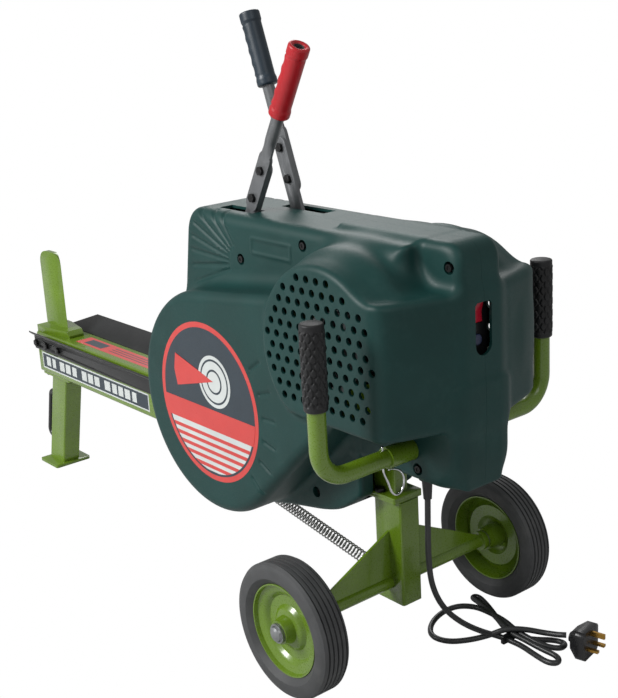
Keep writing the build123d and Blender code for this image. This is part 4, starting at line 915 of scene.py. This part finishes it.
@dataclass
class MouldedHousing:
    """Two moulded half shells that meet on the centre plane, cut from one smooth skin."""

    shape: ShellShape = field(default_factory=ShellShape)
    wall: float = 4.5
    step: float = 2.8
    vent_radius: float = 5.8
    vent_pitch: tuple = (21.46, 18.25)
    screws: tuple = ((262.0, 597.0, 75.0), (103.0, 640.0, 75.0), (-168.0, 640.0, 43.0), (-110.0, 338.0, 57.0),
                     (126.0, 232.0, 57.0))

    def skin(self, x: np.ndarray, y: np.ndarray, z: np.ndarray) -> np.ndarray:
        """Distance to the left half's outer skin, closed a little past the centre plane."""
        return np.maximum(self.shape.distance(x, y, z), -3 - y)

    def cavity(self, x: np.ndarray, y: np.ndarray, z: np.ndarray) -> np.ndarray:
        """Distance to the space inside the left half: the skin drawn in by the wall, less the screw bosses."""
        inside = np.maximum(self.shape.distance(x, y, z) + self.wall, -5 - y)
        for station, height, half in self.screws:
            boss = np.maximum(np.hypot(x - station, z - height) - 11, half - 16 - np.abs(y))
            inside = np.maximum(inside, -boss)
        return inside

    def vents(self) -> list:
        """Centres of the staggered vent holes on the cowl's outer face, as (station, z)."""
        places = []
        for row in range(-4, 7):
            z = self.shape.motor[1] + self.vent_pitch[1] * row
            for column in range(12):
                x = self.shape.motor[0] + (102.4 if row % 2 == 0 else 112.6) - self.vent_pitch[0] * column
                drum = hypot(x - self.shape.motor[0], z - self.shape.motor[1]) < self.shape.cowl_radius - 13
                tail = -132 < x < self.shape.motor[0] and z < 592
                if drum or tail:
                    places.append((x, z))
        return places

    def rod(self, start: np.ndarray, end: np.ndarray, radius: float, sides: int = 24) -> tuple:
        """Closed cylinder between two points, in millimetres.

        Args:
            start: centre of one end, as station, Y and Z.
            end: centre of the other end.
            radius: its radius.
            sides: points round it.

        Returns:
            (points, faces) of the cylinder.
        """
        along = (end - start) / np.linalg.norm(end - start)
        first = np.cross(along, [0, 0, 1] if abs(along[2]) < 0.9 else [0, 1, 0])
        first /= np.linalg.norm(first)
        second = np.cross(along, first)
        angle = np.linspace(0, 2 * pi, sides, endpoint=False)
        ring = radius * (np.cos(angle)[:, None] * first + np.sin(angle)[:, None] * second)
        faces = [[i, (i + 1) % sides, sides + (i + 1) % sides, sides + i] for i in range(sides)]
        faces += [list(range(sides))[::-1], list(range(sides, 2 * sides))]
        return np.vstack([start + ring, end + ring]), faces

    def prism(self, outline: list, y_low: float, y_high: float) -> tuple:
        """Closed prism with a side outline between two Y planes, in millimetres."""
        flat = np.array(outline, dtype=float)
        count = len(flat)
        points = np.vstack([np.insert(flat, 1, y, axis=1) for y in (y_low, y_high)])
        faces = [[i, (i + 1) % count, count + (i + 1) % count, count + i] for i in range(count)]
        faces += [list(range(count))[::-1], list(range(count, 2 * count))]
        return points, faces

    def cutter(self, name: str, solids: list) -> bpy.types.Object:
        """One hidden tool from several separate solids."""
        points, faces, first = [], [], 0
        for solid_points, solid_faces in solids:
            points.append(solid_points)
            faces += [[first + v for v in f] for f in solid_faces]
            first += len(solid_points)
        tool = make_object(name, (np.vstack(points) + [AXLE_X, 0, 0]) * MM, faces, smooth=False)
        return face_outwards(tool)

    def cut(self, piece: bpy.types.Object, tool: bpy.types.Object, operation: str = "DIFFERENCE") -> None:
        """Cuts a piece with a tool and applies it."""
        before = len(piece.data.polygons)
        for solver in ("MANIFOLD", "EXACT"):
            step = piece.modifiers.new("cut", "BOOLEAN")
            step.operation = operation
            step.solver = solver
            step.object = tool
            self.apply(piece)
            if len(piece.data.polygons) != before:
                break
            LOG.warning("%s left %s uncut with the %s solver", tool.name, piece.name, solver)
        bpy.data.objects.remove(tool)

    def apply(self, piece: bpy.types.Object) -> None:
        """Makes what the modifiers give the piece's own mesh."""
        bpy.context.view_layer.update()
        evaluated = piece.evaluated_get(bpy.context.evaluated_depsgraph_get())
        finished = bpy.data.meshes.new_from_object(evaluated)
        piece.modifiers.clear()
        old = piece.data
        piece.data = finished
        bpy.data.meshes.remove(old)

    def tools(self, side: Side) -> list:
        """Solids cut out of one half: vents, screw wells, beam and post openings, slots and bores."""
        sign = side.value

        def beside(y_low: float, y_high: float) -> tuple:
            """Y limits on this side, low first."""
            return tuple(sorted((sign * y_low, sign * y_high)))

        vents = [self.rod(np.array([x, sign * 149.0, z]), np.array([x, sign * 166.0, z]), self.vent_radius)
                 for x, z in self.vents()]
        wells = [self.rod(np.array([x, sign * (half - 12.0), z]), np.array([x, sign * (half + 6.0), z]), 9.2)
                 for x, z, half in self.screws]
        front = self.prism([(300, 195), (520, 195), (520, 446), (392, 446), (392, 216), (300, 216)],
                           *beside(-8, 47))
        post = self.prism([(-36, 235), (54, 235), (54, 322), (-36, 322)], *beside(-8, 33))
        bore = self.rod(np.array([-97.0, sign * 40.0, 366.0]), np.array([-97.0, sign * 70.0, 366.0]), 16.6,
                        40)
        slot_x = (262, 352) if side is Side.LEFT else (165, 272)
        slot = self.prism([(slot_x[0], 640), (slot_x[1], 640), (slot_x[1], 690), (slot_x[0], 690)],
                          *beside(20, 46))
        half_turn = np.radians(np.linspace(180, 360, 17))
        edge = [(1.5 + 16 * cos(a), 529 + 16 * sin(a)) for a in half_turn] + [(17.5, 585), (13.5, 589),
                                                                            (-10.5, 589), (-14.5, 585)]
        points, faces = self.prism(edge, -200.0, -178.0)
        recess = (points[:, [1, 0, 2]], faces)
        solids = [("vents", vents), ("wells", wells), ("front", [front]), ("post", [post, bore]),
                  ("slots", [slot, recess])]
        if side is Side.LEFT:
            solids.append(("cord_hole", [self.rod(np.array([-105.0, 34.0, 300.0]), np.array([-105.0, 34.0, 330.0]),
                                                  9.4, 32)]))
        return solids

    def build(self) -> None:
        """Makes the skin and the space inside it once, then cuts each half's openings."""
        low, high = (-196.0, -8.0, 148.0), (496.0, 166.0, 682.0)
        outer, outer_quads = surface_of(self.skin, low, high, self.step)
        inner, inner_quads = surface_of(self.cavity, low, high, self.step)
        for side in Side:
            sign = side.value
            label = f"housing_{side.name.lower()}"
            turn = slice(None, None, sign)
            half = make_object(f"{label}_moulded", (outer * [1, sign, 1] + [AXLE_X, 0, 0]) * MM,
                               outer_quads[:, turn])
            space = make_object("cavity_tool", (inner * [1, sign, 1] + [AXLE_X, 0, 0]) * MM,
                                inner_quads[:, turn])
            self.cut(half, space)
            limit = self.cutter("seam_tool", [self.prism([(-260, 100), (560, 100), (560, 740), (-260, 740)],
                                                         *sorted((sign * 0.12, sign * 200.0)))])
            self.cut(half, limit, "INTERSECT")
            for name, solids in self.tools(side):
                self.cut(half, self.cutter(f"{name}_tool", solids))
            LOG.info("%s has %d faces", label, len(half.data.polygons))
            thin = half.modifiers.new("thin", "DECIMATE")
            thin.ratio = min(1.0, HALF_TRIANGLES / max(1, sum(len(p.vertices) - 2 for p in half.data.polygons)))
            self.apply(half)
            soft_shaded(half, HALF_CREASE_DEG)
            SHELL.dress(half)
            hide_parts(label)
            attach(half, "frame")


# ---------------------------------------------------------------- badge and labels

@dataclass
class Badge:
    """Round printed badge on the flywheel cover, with a plain log-and-wedge mark and no lettering."""

    side: Side
    station: float = 290.6
    z_mm: float = 366.3
    face_mm: float = 140.0
    radius_mm: float = 135.0

    def sheet(self, name: str, outline: np.ndarray, layer: int, finish: Finish) -> None:
        """Thin vinyl sheet with the given outline, stacked on the cover.

        Args:
            name: name of the piece.
            outline: (n, 2) points, right and up from the badge's centre, in millimetres.
            layer: how many sheets lie under it.
            finish: its printed colour.
        """
        sign = self.side.value
        low = self.face_mm - 0.6
        high = self.face_mm + 0.15 + 0.12 * layer
        flat = np.stack([AXLE_X + self.station + outline[:, 0], self.z_mm + outline[:, 1]], -1)
        rings = [np.insert(flat, 1, sign * depth, axis=1) for depth in (low, high)]
        count = len(outline)
        faces = [[i, (i + 1) % count, count + (i + 1) % count, count + i] for i in range(count)]
        faces += [list(range(count))[::-1], list(range(count, 2 * count))]
        piece = face_outwards(make_object(f"badge_{self.side.name.lower()}_{name}", np.vstack(rings) * MM, faces,
                                          smooth=False))
        finish.dress(piece)
        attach(piece, "frame")

    def disc(self, radius: float, centre: tuple = (0.0, 0.0), steps: int = 96) -> np.ndarray:
        """Circle's outline: centre + r (cos a, sin a)."""
        angle = np.linspace(0, 2 * pi, steps, endpoint=False)
        return np.stack([centre[0] + radius * np.cos(angle), centre[1] + radius * np.sin(angle)], -1)

    def chord_band(self, radius: float, low: float, high: float, steps: int = 24) -> np.ndarray:
        """Part of a disc between two heights, with arcs for its ends."""
        start, end = asin(low / radius), asin(high / radius)
        right = np.linspace(start, end, steps)
        left = np.linspace(pi - end, pi - start, steps)
        angle = np.concatenate([right, left])
        return np.stack([radius * np.cos(angle), radius * np.sin(angle)], -1)

    def build(self) -> None:
        """Red rim, dark field, pale ground with red rays, a log's end grain and a wedge over it."""
        self.sheet("rim", self.disc(self.radius_mm), 0, VINYL_RED)
        self.sheet("field", self.disc(126.0), 1, VINYL_DARK)
        self.sheet("ground", self.chord_band(122.0, -121.0, -46.0), 2, VINYL_PALE)
        for row in range(5):
            low = -56.0 - 13.5 * row
            self.sheet(f"ray_{row}", self.chord_band(122.0, low - 6.5, low), 3, VINYL_RED)
        self.sheet("band", self.chord_band(126.0, -46.0, -10.0), 3, VINYL_RED)
        self.sheet("log_bark", self.disc(44.0, (-22.0, 40.0)), 2, VINYL_PALE)
        self.sheet("log_ring_outer", self.disc(38.0, (-22.0, 40.0)), 3, VINYL_DARK)
        self.sheet("log_wood", self.disc(34.5, (-22.0, 40.0)), 4, VINYL_PALE)
        self.sheet("log_ring_inner", self.disc(21.0, (-22.0, 40.0)), 5, VINYL_DARK)
        self.sheet("log_heart", self.disc(17.5, (-22.0, 40.0)), 6, VINYL_PALE)
        wedge = np.array([[-20.0, 40.0], [86.0, 12.0], [92.0, 40.0], [86.0, 68.0]])
        self.sheet("wedge_mark", wedge, 7, VINYL_RED)


@dataclass
class BeamLabels:
    """Printed strips on the beam: dark side strips with a pale border, and a red strip on top."""

    rear: float = 655.0
    front: float = 1084.0
    low_mm: float = 232.0
    high_mm: float = 268.0
    beam_half_mm: float = 35.0
    beam_top_mm: float = 311.0
    marks: tuple = ((1048.0, 18.0), (1026.0, 14.0), (988.0, 20.0), (962.0, 20.0), (936.0, 18.0), (894.0, 20.0),
                    (868.0, 20.0), (842.0, 20.0), (800.0, 22.0), (774.0, 18.0), (750.0, 18.0), (724.0, 20.0),
                    (700.0, 16.0))

    def plate(self, name: str, low: np.ndarray, high: np.ndarray, finish: Finish) -> None:
        """Thin rectangular sheet between two corners, in station, Y and Z millimetres."""
        corners = np.array([[x, y, z] for x in (low[0], high[0]) for y in (low[1], high[1])
                            for z in (low[2], high[2])])
        points = (corners + [AXLE_X, 0, 0]) * MM
        faces = [[0, 1, 3, 2], [4, 6, 7, 5], [0, 4, 5, 1], [2, 3, 7, 6], [0, 2, 6, 4], [1, 5, 7, 3]]
        piece = face_outwards(make_object(name, points, faces, smooth=False))
        finish.dress(piece)
        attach(piece, "frame")

    def build(self) -> None:
        """Lays the strips on both sides and on the top of the beam."""
        for side in Side:
            sign, half = side.value, self.beam_half_mm
            label = side.name.lower()

            def layer(depth: float) -> tuple:
                """Y limits of a sheet this far out from the beam."""
                return tuple(sorted((sign * (half - 0.3), sign * (half + depth))))

            y = layer(0.15)
            self.plate(f"beam_label_border_{label}", (self.rear, y[0], self.low_mm),
                       (self.front, y[1], self.high_mm), VINYL_PALE)
            y = layer(0.28)
            self.plate(f"beam_label_field_{label}", (self.rear + 3, y[0], self.low_mm + 3),
                       (self.front - 3, y[1], self.high_mm - 3), VINYL_DARK)
            y = layer(0.4)
            for step, (start, width) in enumerate(self.marks):
                self.plate(f"beam_label_mark_{label}_{step}", (start, y[0], self.low_mm + 8),
                           (start + width, y[1], self.high_mm - 8), VINYL_PALE)
        z = self.beam_top_mm
        self.plate("beam_top_strip", (560, -20, z - 0.3), (958, 17, z + 0.15), VINYL_RED)
        self.plate("beam_top_panel", (868, -13, z - 0.3), (936, 10, z + 0.25), VINYL_DARK)
        for step, y_line in enumerate((-11, -3, 5)):
            self.plate(f"beam_top_line_{step}", (600, y_line, z - 0.3), (842, y_line + 2.4, z + 0.25), VINYL_DARK)


def main() -> None:
    """Builds the pieces in order and reports each of them."""
    Studio().build()
    LOG.info("studio")
    MainsCord().build()
    LOG.info("mains cord")
    dress_cad_nodes()
    LOG.info("cad nodes dressed")
    ReturnSpring().build()
    LOG.info("return spring")
    MouldedHousing().build()
    LOG.info("moulded housing")
    for side in Side:
        HandleGrip(side).build()
        SpringClip(side).build()
        Badge(side).build()
    LOG.info("handle grips and badges")
    LeverGrip("engage_lever_grip", "engage_lever", (319.0, 600.0), -29.9, 36.0, RED_GRIP).build()
    LeverGrip("safety_lever_grip", "safety_lever", (224.6, 613.4), 18.8, -36.0, BLUE_GRIP).build()
    LOG.info("lever grips")
    BeamLabels().build()
    LOG.info("beam labels")


if __name__ == "__main__":
    main()
